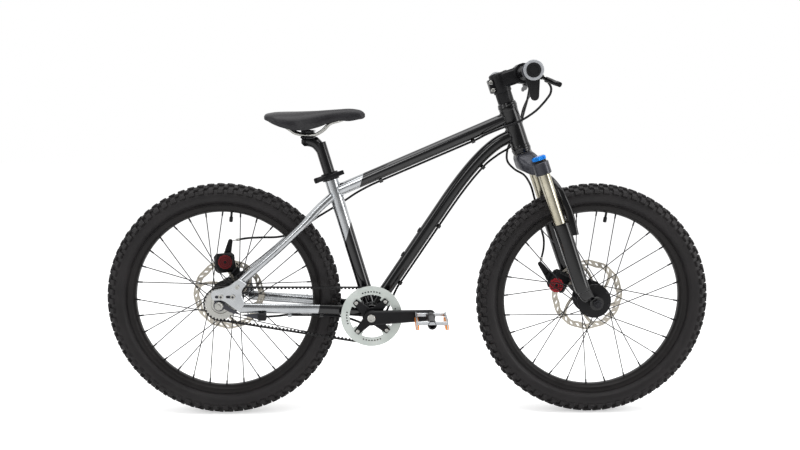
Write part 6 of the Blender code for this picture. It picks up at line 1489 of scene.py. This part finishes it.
SHIFT_REAR = [
    (0.3620, -0.003, 0.2440), (0.3500, -0.009, 0.2200), (0.3340, -0.016, 0.2035), (0.3120, -0.022, 0.2020),
    (0.2880, -0.0275, 0.2120), (0.2640, -0.0330, 0.2215), (0.2390, -0.0380, 0.2250)]
SHIFT_END = [(0.1250, -0.0590, 0.2305), (0.1000, -0.0690, 0.2310)]
FRONT_BRAKE = [
    (0.6680, 0.1175, 0.7325), (0.6790, 0.110, 0.7260), (0.6850, 0.101, 0.7120), (0.6760, 0.078, 0.7010),
    (0.6640, 0.052, 0.6880), (0.6540, 0.038, 0.6680), (0.6480, 0.034, 0.6450), (0.6370, 0.034, 0.6160),
    (0.6210, 0.037, 0.5800), (0.6220, 0.042, 0.5560), (0.6380, 0.045, 0.5380), (0.6610, 0.0455, 0.5240),
    (0.6740, 0.047, 0.5050), (0.6850, 0.050, 0.4730), (0.6940, 0.053, 0.4400), (0.7030, 0.055, 0.4020),
    (0.7090, 0.056, 0.3800), (0.7090, 0.054, 0.3600), (0.7035, 0.0510, 0.3340)]


def through(places):
    """Two points of a route in each guide."""
    return np.array([put(place, (0, 0, distance)) for place in places for distance in (0.008, -0.008)])


def housing(name, route):
    """A tube along a smooth curve through the route, attached to no body."""
    path = smooth(route, 6)
    made = piece(name + "_housing", [swept(path, HOUSING_RADIUS, sides=16, side=(0.35, 0.93, 0.1))],
                 HOUSING_PLASTIC, None, name, 60)
    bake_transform(made)
    length = np.linalg.norm(np.diff(path, axis=0), axis=1).sum()
    print(name, round(length * 1000), "mm long")


housing("rear_brake_cable", np.concatenate([from_rear(REAR_BRAKE_FRONT), through(TOP_CLIPS),
                                            from_rear(REAR_BRAKE_REAR)]))
housing("shift_cable", np.concatenate([from_rear(SHIFT_FRONT), through(DOWN_CLIPS), from_rear(SHIFT_REAR),
                                       through(STAY_CLIPS), from_rear(SHIFT_END)]))
housing("front_brake_cable", from_rear(FRONT_BRAKE))

# %% [markdown]
# At a brake the housing ends in a steel ferrule, and the bare inner wire goes on to the pinch bolt
# of the arm. The wire is short, and it is attached to no body.

# %% Inner wires at the brakes


def inner_wire(name, start, end, body):
    """A ferrule at start, on the body, and a straight strand from there to end, on no body."""
    start, end = np.array(start), np.array(end)
    ferrule = [(0.0025, -0.0050), (0.0031, -0.0050), (0.0031, 0.0030), (0.0012, 0.0050)]
    piece(name + "_ferrule", [turned(eased(ferrule, 0.0004), frame_at(start, end - start), 24)], BRIGHT_STEEL,
          body)
    wire = swept(np.linspace(start, end, 12), 0.0009, sides=12, side=(0.3, 0.9, 0.2))
    strand = piece(name + "_strand", [wire], BRIGHT_STEEL, None)
    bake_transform(strand)


inner_wire("rear_brake", from_rear(REAR_BRAKE_REAR[-1]), REAR_AXLE + (0.004, 0.0618, 0.119), "frame")
inner_wire("front_brake", from_rear(FRONT_BRAKE[-1]), FRONT_AXLE + (-0.106, 0.0496, 0.069), "lowers")
